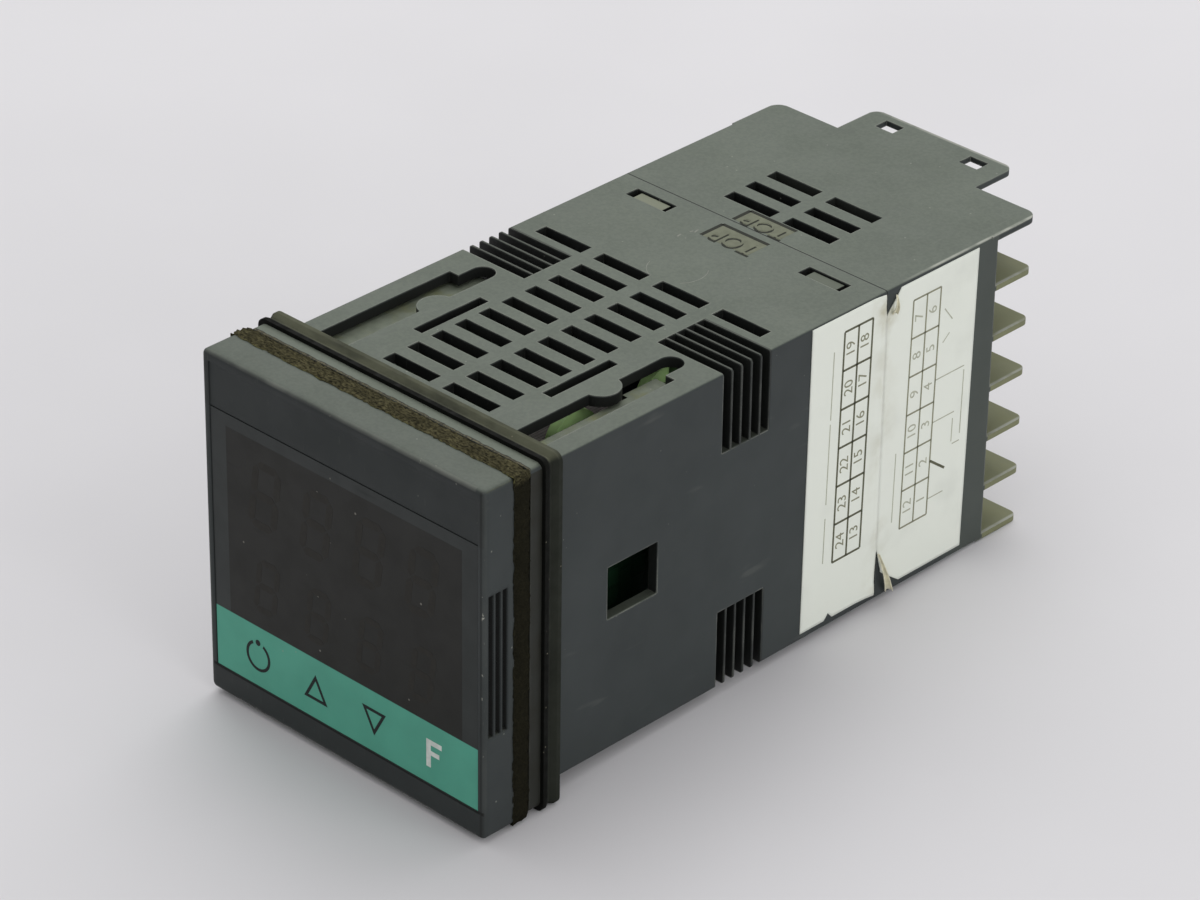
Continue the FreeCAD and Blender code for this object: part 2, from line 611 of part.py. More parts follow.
def make_bezel():
    """The front frame: film recess, name band, display window, key holes, grip grooves and rear skirt."""
    frame = tube_block(BEZEL_SIZE, (BEZEL_FRONT_Y, FOAM_FRONT_Y), BEZEL_CORNER)
    frame = round_edges(frame, BEZEL_EDGE, lambda p, d: abs(p.y - BEZEL_FRONT_Y) < 1e-6)
    skirt = block(centred(SKIRT_SIZE), (FOAM_FRONT_Y - OVERCUT, SKIRT_END_Y), centred(SKIRT_SIZE))
    frame = frame.fuse(skirt)

    before = BEZEL_FRONT_Y - OVERCUT
    film_half = FILM_WIDTH / 2 + FILM_CLEARANCE
    film_z = (FILM_BOTTOM_Z - FILM_CLEARANCE, FILM_TOP_Z + FILM_CLEARANCE)
    cuts = [
        block((-film_half, film_half), (before, FILM_FLOOR_Y), film_z),
        block((-film_half, film_half), (before, BEZEL_FRONT_Y + BAND_RECESS), (film_z[1], BAND_TOP_Z)),
        block(centred(SKIRT_INNER), (FRONT_WALL_Y, SKIRT_END_Y + OVERCUT), centred(SKIRT_INNER)),
    ]
    through = (before, FRONT_WALL_Y + OVERCUT)
    window_x = centred(DISPLAY_WIDTH + 2 * DISPLAY_CLEARANCE)
    window_z = (DISPLAY_BOTTOM_Z - DISPLAY_CLEARANCE, DISPLAY_TOP_Z + DISPLAY_CLEARANCE)
    cuts.append(block(window_x, through, window_z))
    for x in KEY_PLACES.values():
        hole_x = centred(KEY_WIDTH + 2 * KEY_CLEARANCE, x)
        cuts.append(block(hole_x, through, centred(KEY_HEIGHT + 2 * KEY_CLEARANCE, KEY_Z)))
    grip_x = (FRONT_HALF - GRIP_DEPTH, FRONT_HALF + OVERCUT)
    grooves = []
    for index in range(GRIP_GROOVES):
        groove_y = centred(GRIP_WIDTH, BEZEL_FRONT_Y + GRIP_FIRST + index * GRIP_PITCH)
        grooves.append(block(grip_x, groove_y, centred(GRIP_HEIGHT)))
    return frame.cut(cuts + both_sides(grooves))


def make_foam_gasket():
    """The foam ring between the bezel and the case flange."""
    ring = tube_block(FOAM_SIZE, (FOAM_FRONT_Y, FLANGE_FRONT_Y), FLANGE_CORNER)
    inner = centred(SKIRT_SIZE + 2 * FOAM_CLEARANCE)
    return ring.cut(block(inner, (FOAM_FRONT_Y - OVERCUT, FLANGE_FRONT_Y + OVERCUT), inner))


def make_film():
    """The printed sheet in the bezel's recess."""
    return block(centred(FILM_WIDTH), (FILM_FLOOR_Y - FILM_THICK, FILM_FLOOR_Y), (FILM_BOTTOM_Z, FILM_TOP_Z))


def make_key(x):
    """A key plunger with a collar that keeps it behind the front wall."""
    stalk = block(centred(KEY_WIDTH, x), (KEY_FRONT_Y, KEY_REAR_Y), centred(KEY_HEIGHT, KEY_Z))
    collar_x = centred(KEY_WIDTH + 2 * KEY_COLLAR, x)
    collar_z = centred(KEY_HEIGHT + 2 * KEY_COLLAR, KEY_Z)
    return stalk.fuse(block(collar_x, (KEY_COLLAR_Y, KEY_REAR_Y), collar_z)).removeSplitter()


def make_stem(x):
    """The square plunger of a switch, which meets the back of its key."""
    y_span = (KEY_REAR_Y, SWITCH_FRONT_Y + STEM_DEPTH)
    return block(centred(STEM_WIDTH, x), y_span, centred(STEM_WIDTH, KEY_Z))


def make_switch(x):
    """A switch body with a square well for its plunger."""
    body = block(centred(SWITCH_SIZE, x), (SWITCH_FRONT_Y, DISPLAY_BOARD_Y), centred(SWITCH_SIZE, KEY_Z))
    well_end = SWITCH_FRONT_Y + STEM_DEPTH + 2 * KEY_TRAVEL
    well_size = STEM_WIDTH + 2 * STEM_CLEARANCE
    well_y = (SWITCH_FRONT_Y - OVERCUT, well_end)
    return body.cut(block(centred(well_size, x), well_y, centred(well_size, KEY_Z)))


def make_display(z_span):
    """A light-emitting display block with a shallow well for each digit."""
    body = block(centred(DISPLAY_WIDTH), (DISPLAY_FRONT_Y, DISPLAY_BOARD_Y), z_span)
    well_z = (z_span[0] + DIGIT_WELL_MARGIN, z_span[1] - DIGIT_WELL_MARGIN)
    well_y = (DISPLAY_FRONT_Y - OVERCUT, DISPLAY_FRONT_Y + DIGIT_WELL_DEPTH)
    pitch = DISPLAY_WIDTH / DIGIT_WELLS
    wells = []
    for index in range(DIGIT_WELLS):
        middle_x = (index - (DIGIT_WELLS - 1) / 2) * pitch
        wells.append(block(centred(pitch - DIGIT_WELL_GAP, middle_x), well_y, well_z))
    return body.cut(wells)


def make_display_board():
    size = SKIRT_INNER - 2 * DISPLAY_BOARD_CLEARANCE
    return block(centred(size), (DISPLAY_BOARD_Y, BOARD_FRONT_Y), centred(size))


def make_right_board():
    """An upright board: low in front, tall where it runs in the rails, and low again in the rear block."""
    x_span = (BOARD_INNER_X, BOARD_OUTER_X)
    tail = centred(BLOCK_INNER - 2 * BOARD_TAIL_CLEARANCE)
    neck = centred(SKIRT_INNER - 2 * DISPLAY_BOARD_CLEARANCE)
    low = centred(CAVITY_SIZE - 2 * BOARD_LOW_EDGE)
    tall = centred(CAVITY_SIZE - 2 * BOARD_EDGE_CLEARANCE)
    shoulder_y = SKIRT_END_Y + BOARD_NECK_GAP
    step_y = KEYHOLE_END_Y + BOARD_STEP_GAP
    tail_y = SPIGOT_FRONT_Y - BOARD_TAIL_GAP
    pieces = [
        block(x_span, (shoulder_y, step_y), low),
        block(x_span, (step_y, tail_y), tall),
        block(x_span, (tail_y, BOARD_END_Y), tail),
    ]
    return block(x_span, (BOARD_FRONT_Y, shoulder_y), neck).fuse(pieces).removeSplitter()


def make_headers():
    """Pin headers in the corners between the display board and the upright boards."""
    y_span = (BOARD_FRONT_Y, BOARD_FRONT_Y + HEADER_SIZE)
    header = block((BOARD_INNER_X - HEADER_SIZE, BOARD_INNER_X), y_span, centred(HEADER_LENGTH))
    return both_sides([header])


def make_sockets():
    """Socket strips on both faces of both boards, one slot for each terminal blade."""
    rear_y = POST_FRONT_Y - SOCKET_POST_GAP
    half_height = (BARRIER_BAYS - 1) / 2 * BARRIER_PITCH + SOCKET_END_MARGIN
    slot_y = (POST_FRONT_Y - BLADE_LENGTH - SOCKET_HOLE_SPARE, rear_y + OVERCUT)
    strips = []
    for face_x, step in ((BOARD_OUTER_X, 1), (BOARD_INNER_X, -1)):
        strip = block(
            (face_x, face_x + step * SOCKET_WIDTH),
            (rear_y - SOCKET_LENGTH, rear_y),
            (-half_height, half_height),
        )
        slot_x = centred(BLADE_THICK + 2 * SOCKET_HOLE_CLEARANCE, face_x + step * SOCKET_BLADE_OFFSET)
        slot_height = BLADE_WIDTH + 2 * SOCKET_HOLE_CLEARANCE
        strips.append(strip.cut([block(slot_x, slot_y, centred(slot_height, z)) for z in ROW_PLACES]))
    return both_sides(strips)


def make_transformer():
    """A laminated core with two windows, and a winding on its middle leg that stands on the right board."""
    outer_x = BOARD_INNER_X - WINDING_BUILD
    stack = (outer_x - CORE_STACK, outer_x)
    window_y = (CORE_FRONT_Y + CORE_LEG, CORE_FRONT_Y + CORE_LENGTH - CORE_LEG)
    leg_half = CORE_LEG
    window_top = CORE_HEIGHT / 2 - CORE_LEG
    core = block(stack, (CORE_FRONT_Y, CORE_FRONT_Y + CORE_LENGTH), centred(CORE_HEIGHT))
    window = block((stack[0] - OVERCUT, stack[1] + OVERCUT), window_y, (leg_half, window_top))
    core = core.cut([window, mirrored_z(window)])

    coil_x = (stack[0] - WINDING_BUILD, BOARD_INNER_X)
    coil_y = (window_y[0] + WINDING_CLEARANCE, window_y[1] - WINDING_CLEARANCE)
    coil = block(coil_x, coil_y, centred(2 * (window_top - WINDING_CLEARANCE)))
    coil = round_edges(coil, WINDING_CORNER, lambda p, d: abs(d.y) > 0.9 and p.x < stack[0])
    leg_x = (stack[0] - WINDING_CLEARANCE, stack[1] + WINDING_CLEARANCE)
    leg_z = centred(2 * (leg_half + WINDING_CLEARANCE))
    coil = coil.cut(block(leg_x, (coil_y[0] - OVERCUT, coil_y[1] + OVERCUT), leg_z))
    return core, coil


def make_relays():
    """Two sealed relays on the inner face of the left board."""
    x_span = (-BOARD_INNER_X, RELAY_HEIGHT - BOARD_INNER_X)
    y_span = (RELAY_FRONT_Y, RELAY_FRONT_Y + RELAY_LENGTH)
    relay = block(x_span, y_span, (RELAY_GAP / 2, RELAY_GAP / 2 + RELAY_WIDTH))
    relay = round_edges(relay, RELAY_EDGE, lambda p, d: p.x > x_span[1] - 1e-6)
    return [relay, mirrored_z(relay)]


def make_capacitors():
    """Two can capacitors on the inner face of the right board."""
    cans = []
    for index in range(2):
        foot = Vector(BOARD_INNER_X, CAPACITOR_Y + index * CAPACITOR_PITCH, 0)
        cans.append(Part.makeCylinder(CAPACITOR_RADIUS, CAPACITOR_HEIGHT, foot, Vector(-1, 0, 0)))
    return cans


def make_discs():
    """Two disc suppressors on the inner face of the right board that stand above its low front edge."""
    discs = []
    for index in range(2):
        foot = Vector(BOARD_INNER_X, DISC_FRONT_Y + index * DISC_PITCH, CAVITY_HALF - DISC_EDGE)
        discs.append(Part.makeCylinder(DISC_RADIUS, DISC_THICK, foot, Vector(-1, 0, 0)))
    return discs


def make_processor():
    """The controller chip on the outer face of the left board."""
    x_span = (-BOARD_OUTER_X - PROCESSOR_THICK, -BOARD_OUTER_X)
    return block(x_span, centred(PROCESSOR_SIZE, PROCESSOR_Y), centred(PROCESSOR_SIZE))


def make_brace():
    """The bar that holds the two upright boards apart."""
    y_span = (BRACE_FRONT_Y, BRACE_FRONT_Y + BRACE_WIDTH)
    return block((-BOARD_INNER_X, BOARD_INNER_X), y_span, centred(BRACE_HEIGHT))


def main():
    os.makedirs("parts", exist_ok=True)
    save("case_shell", make_case())
    save("panel_gasket", make_panel_gasket())
    save("rear_block", make_rear_block())
    save("terminal_posts", at_terminals(make_post))
    save("clamp_washers", at_terminals(make_washer))
    save("terminal_screws", at_terminals(make_screw))
    save("wiring_label", make_label())
    save("front_bezel", make_bezel())
    save("foam_gasket", make_foam_gasket())
    save("front_film", make_film())
    for name, x in KEY_PLACES.items():
        save("key_" + name, make_key(x))
        save("stem_" + name, make_stem(x))
    save("switch_bodies", [make_switch(x) for x in KEY_PLACES.values()])
    save("upper_display", make_display(UPPER_DISPLAY_Z))
    save("lower_display", make_display(LOWER_DISPLAY_Z))
    save("display_board", make_display_board())
    right_board = make_right_board()
    save("right_board", right_board)
    save("left_board", mirrored_x(right_board))
    save("board_headers", make_headers())
    save("rear_sockets", make_sockets())
    core, coil = make_transformer()
    save("transformer_core", core)
    save("transformer_winding", coil)
    save("output_relays", make_relays())
    save("filter_capacitors", make_capacitors())
    save("disc_suppressors", make_discs())
    save("processor", make_processor())
    save("board_brace", make_brace())


main()
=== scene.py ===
"""Looks of the panel-mounted temperature controller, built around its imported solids.

Lengths in this script are millimetres until a mesh is made; the scene itself is in metres.
+X is right as seen from the front, +Y points to the rear and +Z is up.
"""
import math

import bmesh
import bpy
from mathutils import Matrix, Quaternion, Vector, noise


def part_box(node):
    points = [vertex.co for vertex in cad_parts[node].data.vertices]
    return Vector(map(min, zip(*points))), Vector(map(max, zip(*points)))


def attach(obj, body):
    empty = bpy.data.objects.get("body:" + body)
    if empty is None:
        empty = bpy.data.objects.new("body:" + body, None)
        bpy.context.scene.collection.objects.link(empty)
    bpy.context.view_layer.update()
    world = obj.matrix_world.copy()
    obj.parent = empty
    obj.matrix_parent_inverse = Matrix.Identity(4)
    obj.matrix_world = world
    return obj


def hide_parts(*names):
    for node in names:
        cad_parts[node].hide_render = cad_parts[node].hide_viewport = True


MM = 0.001
FORWARD = (0.0, -1.0, 0.0)
REARWARD = (0.0, 1.0, 0.0)
OUTWARD = (1.0, 0.0, 0.0)
UPWARD = (0.0, 0.0, 1.0)

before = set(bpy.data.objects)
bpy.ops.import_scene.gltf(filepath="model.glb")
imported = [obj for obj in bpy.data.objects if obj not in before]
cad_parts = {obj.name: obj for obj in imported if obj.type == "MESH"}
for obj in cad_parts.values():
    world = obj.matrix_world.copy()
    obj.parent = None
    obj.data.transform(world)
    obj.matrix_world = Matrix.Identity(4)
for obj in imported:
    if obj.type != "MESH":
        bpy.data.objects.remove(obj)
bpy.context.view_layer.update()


def millimetres(node):
    """The lowest and highest corner of a solid, in millimetres."""
    low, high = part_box(node)
    return low / MM, high / MM


CASE_LOW, CASE_HIGH = millimetres("case_shell")
BLOCK_LOW, BLOCK_HIGH = millimetres("rear_block")
FILM_LOW, FILM_HIGH = millimetres("front_film")
FRONT_Y = millimetres("front_bezel")[0].y
FRONT_X = millimetres("front_bezel")[1].x
FOAM_LOW, FOAM_HIGH = millimetres("foam_gasket")
LABEL_LOW, LABEL_HIGH = millimetres("wiring_label")
GASKET_LOW, GASKET_HIGH = millimetres("panel_gasket")
SEAM_Y = CASE_HIGH.y
SIDE_X = LABEL_LOW.x
TOP_Z = BLOCK_HIGH.z
BLOCK_BODY_END_Y = millimetres("clamp_washers")[0].y
TAB_PAST_FINS = 8.2
FIN_END_Y = BLOCK_HIGH.y - TAB_PAST_FINS
CORNER_REACH = 11.0
CORNER_VENT_Y = (29.5, 38.0)

# Camera of the photograph
CAMERA_PLACE = Vector((375.2, -360.3, 319.1))
CAMERA_AIM = Vector((-4.0, 35.8, -1.7))
CAMERA_ROLL = math.radians(0.8)
FOCAL_LENGTH = 152.0
SENSOR_WIDTH = 36.0

# Light levels, where 1 renders a colour about as it is written
SKY_LEVEL = 0.60
LAMP_DISTANCE = 1.15
LAMP_AIM = Vector((0.0, 0.04, 0.0))
LAMPS = {
    "key": (Vector((-0.35, 0.37, 0.86)), 0.54, 1.2),
    "fill": (Vector((0.90, 0.05, 0.42)), 0.25, 0.9),
}

# Linear colours
PLASTIC = (0.042, 0.049, 0.049)
# Dust on tops; also painted light on the block's side faces.
DUST_AND_LIGHT = (0.205, 0.235, 0.185)
FLOOR_DUST = (0.200, 0.225, 0.172)
FLOOR_STAIN = (0.190, 0.205, 0.110)
FIN_DUST = (0.198, 0.205, 0.116)
TONGUES = ((0.198, 0.212, 0.155), (0.120, 0.136, 0.106))
# Pale worn tone, also used as painted highlight along edges.
WORN_AND_HIGHLIGHT = (0.31, 0.32, 0.28)
CHIP = (0.38, 0.38, 0.33)
PLASTIC_SPECK = (0.34, 0.34, 0.30)
RUBBER_SPECK = (0.26, 0.24, 0.18)
PAPER_SPECK = (0.30, 0.27, 0.20)
FILM_SPECK = (0.30, 0.29, 0.25)
RUBBER = (0.0165, 0.0185, 0.0145)
RUBBER_DUST = (0.092, 0.096, 0.064)
FOAM_DARK = (0.010, 0.0095, 0.006)
FOAM_PALE = (0.118, 0.107, 0.056)
FOAM_FRINGE = (0.17, 0.165, 0.055)
PAPER = (0.785, 0.815, 0.74)
# Yellow paper stain, which at the bottom also serves as painted shadow.
PAPER_STAIN_AND_SHADOW = (0.43, 0.40, 0.26)
CURL = (0.74, 0.71, 0.55)
PRINT = (0.105, 0.105, 0.065)
PALE_PRINT = (0.24, 0.24, 0.165)
FADED_PRINT = (0.42, 0.43, 0.34)
SLATE = (0.027, 0.031, 0.030)
SMOKED = (0.0125, 0.0125, 0.0105)
GHOST = (0.0214, 0.0200, 0.0166)
TEAL = (0.085, 0.35, 0.255)
LEGEND_DARK = (0.012, 0.016, 0.016)
LEGEND_PALE = (0.62, 0.66, 0.62)
# Dark grime at the seam, and painted shade in recesses, vents and on the bezel's front.
GRIME_AND_SHADE = (0.012, 0.013, 0.012)
# Darker tone for the flange's faces below its top.
FLANGE_DARK = (0.019, 0.019, 0.014)
MARK_DARK = (0.014, 0.016, 0.009)
MARK_PALE = (0.150, 0.160, 0.110)
BOARD_GREEN = (0.018, 0.060, 0.028)
SOLDER = (0.55, 0.55, 0.52)
# Disc green made brighter than the enamel: painted light where the discs sit in shade.
DISC_GREEN_AND_LIGHT = (0.62, 0.94, 0.38)
CORE_DARK = (0.16, 0.15, 0.14)
CORE_PALE = (0.26, 0.24, 0.22)
CORE_GAP = (0.02, 0.018, 0.016)
TAPE_DARK = (0.42, 0.26, 0.05)
TAPE_PALE = (0.58, 0.38, 0.09)
TAPE_LAP = (0.20, 0.11, 0.02)
BLACK = (0.022, 0.022, 0.023)
STEEL = (0.56, 0.56, 0.53)
BRASS = (0.62, 0.44, 0.18)
KEY_GREY = (0.40, 0.40, 0.37)
RESIN = (0.016, 0.016, 0.018)
# Near-black relays: the dark tone stands in for shade inside the case.
RELAY = (0.018, 0.022, 0.034)
CAN_SLEEVE = (0.018, 0.020, 0.032)
FLOOR = (0.700, 0.690, 0.710)

# Patterns of the transformer
SHEETS_PER_MM = 2.0
TURNS_PER_MM = 0.45


def scaled(colour, factor):
    return tuple(channel * factor for channel in colour)


class Shader:
    """A material's node tree, with short calls for the nodes that are used here."""

    def __init__(self, name):
        self.material = bpy.data.materials.new(name)
        self.material.use_nodes = True
        self.tree = self.material.node_tree
        self.surface = self.tree.nodes["Principled BSDF"]
        self.place = self.add("ShaderNodeTexCoord").outputs["Object"]
        self.normal = self.add("ShaderNodeNewGeometry").outputs["Normal"]

    def feed(self, socket, value):
        if isinstance(value, bpy.types.NodeSocket):
            self.tree.links.new(value, socket)
        elif socket.type == "RGBA":
            socket.default_value = (*value, 1.0)
        else:
            socket.default_value = value

    def add(self, kind, settings=None, inputs=None):
        made = self.tree.nodes.new(kind)
        for key, value in (settings or {}).items():
            setattr(made, key, value)
        for key, value in (inputs or {}).items():
            self.feed(made.inputs[key], value)
        return made

    def set(self, **values):
        """Feed the surface's sockets; an underscore in a name stands for a space."""
        for key, value in values.items():
            self.feed(self.surface.inputs[key.replace("_", " ")], value)

    def stain(self, mask, colour):
        """Lay one more colour over the surface where a mask says so."""
        base = self.surface.inputs["Base Color"].links[0].from_socket
        self.set(Base_Color=self.mix(mask, base, colour))

    def math(self, operation, first, second=0.0):
        return self.add("ShaderNodeMath", {"operation": operation}, {0: first, 1: second}).outputs[0]

    def times(self, *values):
        product = values[0]
        for value in values[1:]:
            product = self.math("MULTIPLY", product, value)
        return product

    def ramp(self, value, low, high, start=0.0, end=1.0):
        inputs = {"Value": value, "From Min": low, "From Max": high, "To Min": start, "To Max": end}
        return self.add("ShaderNodeMapRange", {"interpolation_type": "SMOOTHSTEP"}, inputs).outputs[0]

    def mix(self, factor, first, second):
        inputs = {"Factor": factor, 6: first, 7: second}
        return self.add("ShaderNodeMix", {"data_type": "RGBA"}, inputs).outputs[2]

    def noise(self, size, detail, stretch=(1.0, 1.0, 1.0)):
        """Soft noise whose blobs are about this many millimetres across."""
        vector = self.place
        if stretch != (1.0, 1.0, 1.0):
            scale = tuple(1.0 / part for part in stretch)
            vector = self.add("ShaderNodeMapping", None, {"Vector": vector, "Scale": scale}).outputs[0]
        inputs = {"Vector": vector, "Scale": 1.0 / (size * MM), "Detail": detail}
        return self.add("ShaderNodeTexNoise", None, inputs).outputs["Fac"]

    def patchy(self, size, detail, start=0.0, end=1.0):
        """A value that drifts between two ends in soft patches."""
        return self.ramp(self.noise(size, detail), 0.3, 0.7, start, end)

    def mottled(self, colour, size, low, high, detail=3):
        """A colour that drifts between two shares of itself."""
        return self.mix(self.patchy(size, detail), scaled(colour, low), scaled(colour, high))

    def specks(self, spacing, share, radius):
        """Small dots, one to a cell of this spacing, of which a share is kept."""
        cells = self.add("ShaderNodeTexVoronoi", None, {"Vector": self.place, "Scale": 1.0 / (spacing * MM)})
        dot = self.ramp(cells.outputs["Distance"], radius, radius * 0.5)
        lot = self.add("ShaderNodeSeparateColor", None, {"Color": cells.outputs["Color"]}).outputs[0]
        return self.times(dot, self.math("LESS_THAN", lot, share))

    def axis(self, letter):
        """A coordinate in millimetres."""
        part = self.add("ShaderNodeSeparateXYZ", None, {"Vector": self.place}).outputs[letter]
        return self.times(part, 1.0 / MM)

    def above(self, letter, limit):
        return self.math("GREATER_THAN", self.axis(letter), limit)

    def below(self, letter, limit):
        return self.math("LESS_THAN", self.axis(letter), limit)

    def off(self, letter, middle=0.0):
        """The distance from a plane, in millimetres."""
        return self.math("ABSOLUTE", self.math("SUBTRACT", self.axis(letter), middle))

    def wide(self):
        """The distance from the part's long axis, measured square."""
        return self.math("MAXIMUM", self.off("X"), self.off("Z"))

    def dot(self, first, second):
        settings = {"operation": "DOT_PRODUCT"}
        return self.add("ShaderNodeVectorMath", settings, {0: first, 1: second}).outputs["Value"]

    def facing(self, direction, normal=None):
        """How squarely the surface faces a direction: 1 is full face, and 0 is edge on or away."""
        return self.math("MAXIMUM", self.dot(normal or self.normal, direction), 0.0)

    def upward(self, normal=None, start=0.0, end=1.0):
        """A mask of the faces that point up."""
        return self.ramp(self.facing(UPWARD, normal), 0.6, 0.95, start, end)

    def soft_edge(self, radius):
        """The normal of the surface with its edges rounded by a radius in millimetres."""
        return self.add("ShaderNodeBevel", {"samples": 6}, {"Radius": radius * MM}).outputs[0]

    def edges(self, radius):
        """A mask of the edges, out to a radius in millimetres."""
        return self.ramp(self.dot(self.normal, self.soft_edge(radius)), 0.985, 0.80)

    def bump(self, height, depth, strength, normal=None):
        """A relief of this depth in millimetres."""
        inputs = {"Height": height, "Distance": depth * MM, "Strength": strength}
        if normal is not None:
            inputs["Normal"] = normal
        return self.add("ShaderNodeBump", None, inputs).outputs[0]


def moulded_plastic(name, tone, dust, edge_wear_and_highlight, skin, rounding=0.14):
    """Spark-eroded plastic with a haze of dust on top, pale specks, and worn edges that are partly painted
    highlight.

    The skin gives the half width of the outside and the reach along Y within which recesses get painted
    shade and settled dust.
    """
    sh = Shader(name)
    rounded = sh.soft_edge(rounding)
    sh.set(
        Base_Color=sh.mottled(tone, 16, 0.92, 1.08),
        Roughness=sh.patchy(5, 3, 0.48, 0.60),
        Normal=sh.bump(sh.noise(0.16, 2), 0.012, 0.8, rounded),
        Specular_IOR_Level=0.18,
    )
    up = sh.upward(rounded)
    half, front, rear = skin
    inside = sh.ramp(sh.wide(), half - 0.12, half - 0.26)
    recess = sh.times(inside, sh.above("Y", front), sh.below("Y", rear))
    # Painted shade: recesses inside the skin are darkened.
    sh.stain(sh.times(recess, 0.94), GRIME_AND_SHADE)
    haze = sh.ramp(sh.noise(14, 4), 0.2, 0.8, 0.86, 1.0)
    grain = sh.patchy(0.45, 3, 0.88, 1.08)
    high = sh.ramp(sh.axis("Z"), half - 12.0, half - 6.0, 0.06, 1.0)
    sheltered = sh.times(recess, sh.math("SUBTRACT", 1.0, high))
    sh.stain(sh.times(up, haze, grain, dust, sh.ramp(sheltered, 0.0, 1.0, 1.0, 0.45)), DUST_AND_LIGHT)
    settled = sh.patchy(1.6, 4, 0.45, 0.9)
    dusty = sh.mix(sh.ramp(sh.noise(2.4, 4), 0.45, 0.7), FLOOR_DUST, FLOOR_STAIN)
    sh.stain(sh.times(up, recess, settled, high), dusty)
    scratches = sh.ramp(sh.noise(1.1, 2, (0.25, 9.0, 2.0)), 0.66, 0.78)
    sh.stain(sh.times(scratches, 0.08), WORN_AND_HIGHLIGHT)
    # Pale edges: worn, and partly painted highlight.
    worn_and_lit = sh.times(sh.edges(0.40), sh.ramp(sh.noise(5, 4), 0.36, 0.66, 0.15, 1.0), edge_wear_and_highlight)
    sh.stain(sh.times(worn_and_lit, sh.ramp(recess, 0.0, 1.0, 1.0, 0.15)), WORN_AND_HIGHLIGHT)
    sh.stain(sh.times(sh.specks(1.6, 0.16, 0.10), 0.45), PLASTIC_SPECK)
    return sh


def seam_grime(sh):
    """Dirt on both sides of the seam between the case and the rear block."""
    sh.stain(sh.ramp(sh.off("Y", SEAM_Y), 0.13, 0.05), GRIME_AND_SHADE)


def case_plastic():
    """The sleeve, with foam crumbs on its flange, its flange's lower faces darker, and painted shade in the
    corner vents.
    """
    sh = moulded_plastic("case_plastic", PLASTIC, 0.56, 0.7, (SIDE_X, 0.0, SEAM_Y + 1.0))
    up = sh.upward()
    on_flange = sh.below("Y", GASKET_LOW.y + 0.05)
    below_top = sh.below("Z", CASE_HIGH.z - 0.6)
    # The flange's faces below its top are made darker, unevenly.
    uneven = sh.ramp(sh.noise(4, 4), 0.25, 0.75, 0.75, 0.95)
    sh.stain(sh.times(on_flange, below_top, uneven), FLANGE_DARK)
    sh.stain(sh.times(on_flange, up, 0.2), FLOOR_DUST)
    ragged = sh.ramp(sh.noise(1.1, 4), 0.2, 0.8, -0.10, 0.10)
    from_front = sh.math("SUBTRACT", sh.math("ADD", sh.axis("Y"), ragged), CASE_LOW.y)
    sh.stain(sh.times(sh.ramp(from_front, 0.44, 0.36), up), FOAM_DARK)
    crumbs = sh.mix(sh.ramp(sh.noise(0.24, 4), 0.25, 0.75), FOAM_DARK, FOAM_PALE)
    sh.stain(sh.times(sh.ramp(from_front, 0.32, 0.26), up), crumbs)
    # Painted shade in the slots of the corner vents.
    on_vents = sh.times(
        sh.math("GREATER_THAN", sh.off("X"), SIDE_X - CORNER_REACH),
        sh.math("GREATER_THAN", sh.off("Z"), SIDE_X - CORNER_REACH),
        sh.above("Y", CORNER_VENT_Y[0]),
        sh.below("Y", CORNER_VENT_Y[1]),
    )
    sh.stain(sh.times(on_vents, 0.55), GRIME_AND_SHADE)
    seam_grime(sh)
    return sh.material


def block_plastic():
    """The terminal block, with olive dirt on its fins, plate edges worn and painted with highlight, pale
    latch tongues, and side faces painted lighter towards the fins.
    """
    sh = moulded_plastic("block_plastic", PLASTIC, 0.56, 0.7, (SIDE_X, 0.0, BLOCK_BODY_END_Y - 0.5))
    up = sh.upward()
    y = sh.axis("Y")
    marked = sh.ramp(sh.noise(3, 4), 0.25, 0.7, 0.86, 1.0)
    sh.stain(sh.times(sh.above("Y", BLOCK_BODY_END_Y), sh.below("Z", TOP_Z - 2.0), marked), FIN_DUST)
    # Painted light: side faces a little lighter towards the fins.
    near_fins = sh.ramp(y, BLOCK_BODY_END_Y - 10.0, BLOCK_BODY_END_Y - 4.0)
    upright = sh.upward(start=0.15, end=0.0)
    sh.stain(sh.times(sh.below("Y", BLOCK_BODY_END_Y), near_fins, upright), DUST_AND_LIGHT)
    # Pale lines along the plate's right edge and the tab's end: worn, and partly painted highlight.
    worn_and_lit = sh.times(up, sh.ramp(sh.noise(3, 3), 0.3, 0.6, 0.3, 0.9))
    side_edge = sh.ramp(sh.axis("X"), SIDE_X - 0.60, SIDE_X - 0.35)
    behind_seam = sh.ramp(y, SEAM_Y + 2.0, SEAM_Y + 9.0)
    sh.stain(sh.times(worn_and_lit, side_edge, behind_seam), scaled(WORN_AND_HIGHLIGHT, 1.25))
    tab_edge = sh.ramp(y, BLOCK_HIGH.y - 0.50, BLOCK_HIGH.y - 0.25)
    sh.stain(sh.times(worn_and_lit, tab_edge), WORN_AND_HIGHLIGHT)
    tongue = sh.mix(sh.above("X", 0.0), *TONGUES)
    sh.stain(sh.times(up, sh.below("Y", SEAM_Y - 0.2)), tongue)
    seam_grime(sh)
    return sh.material


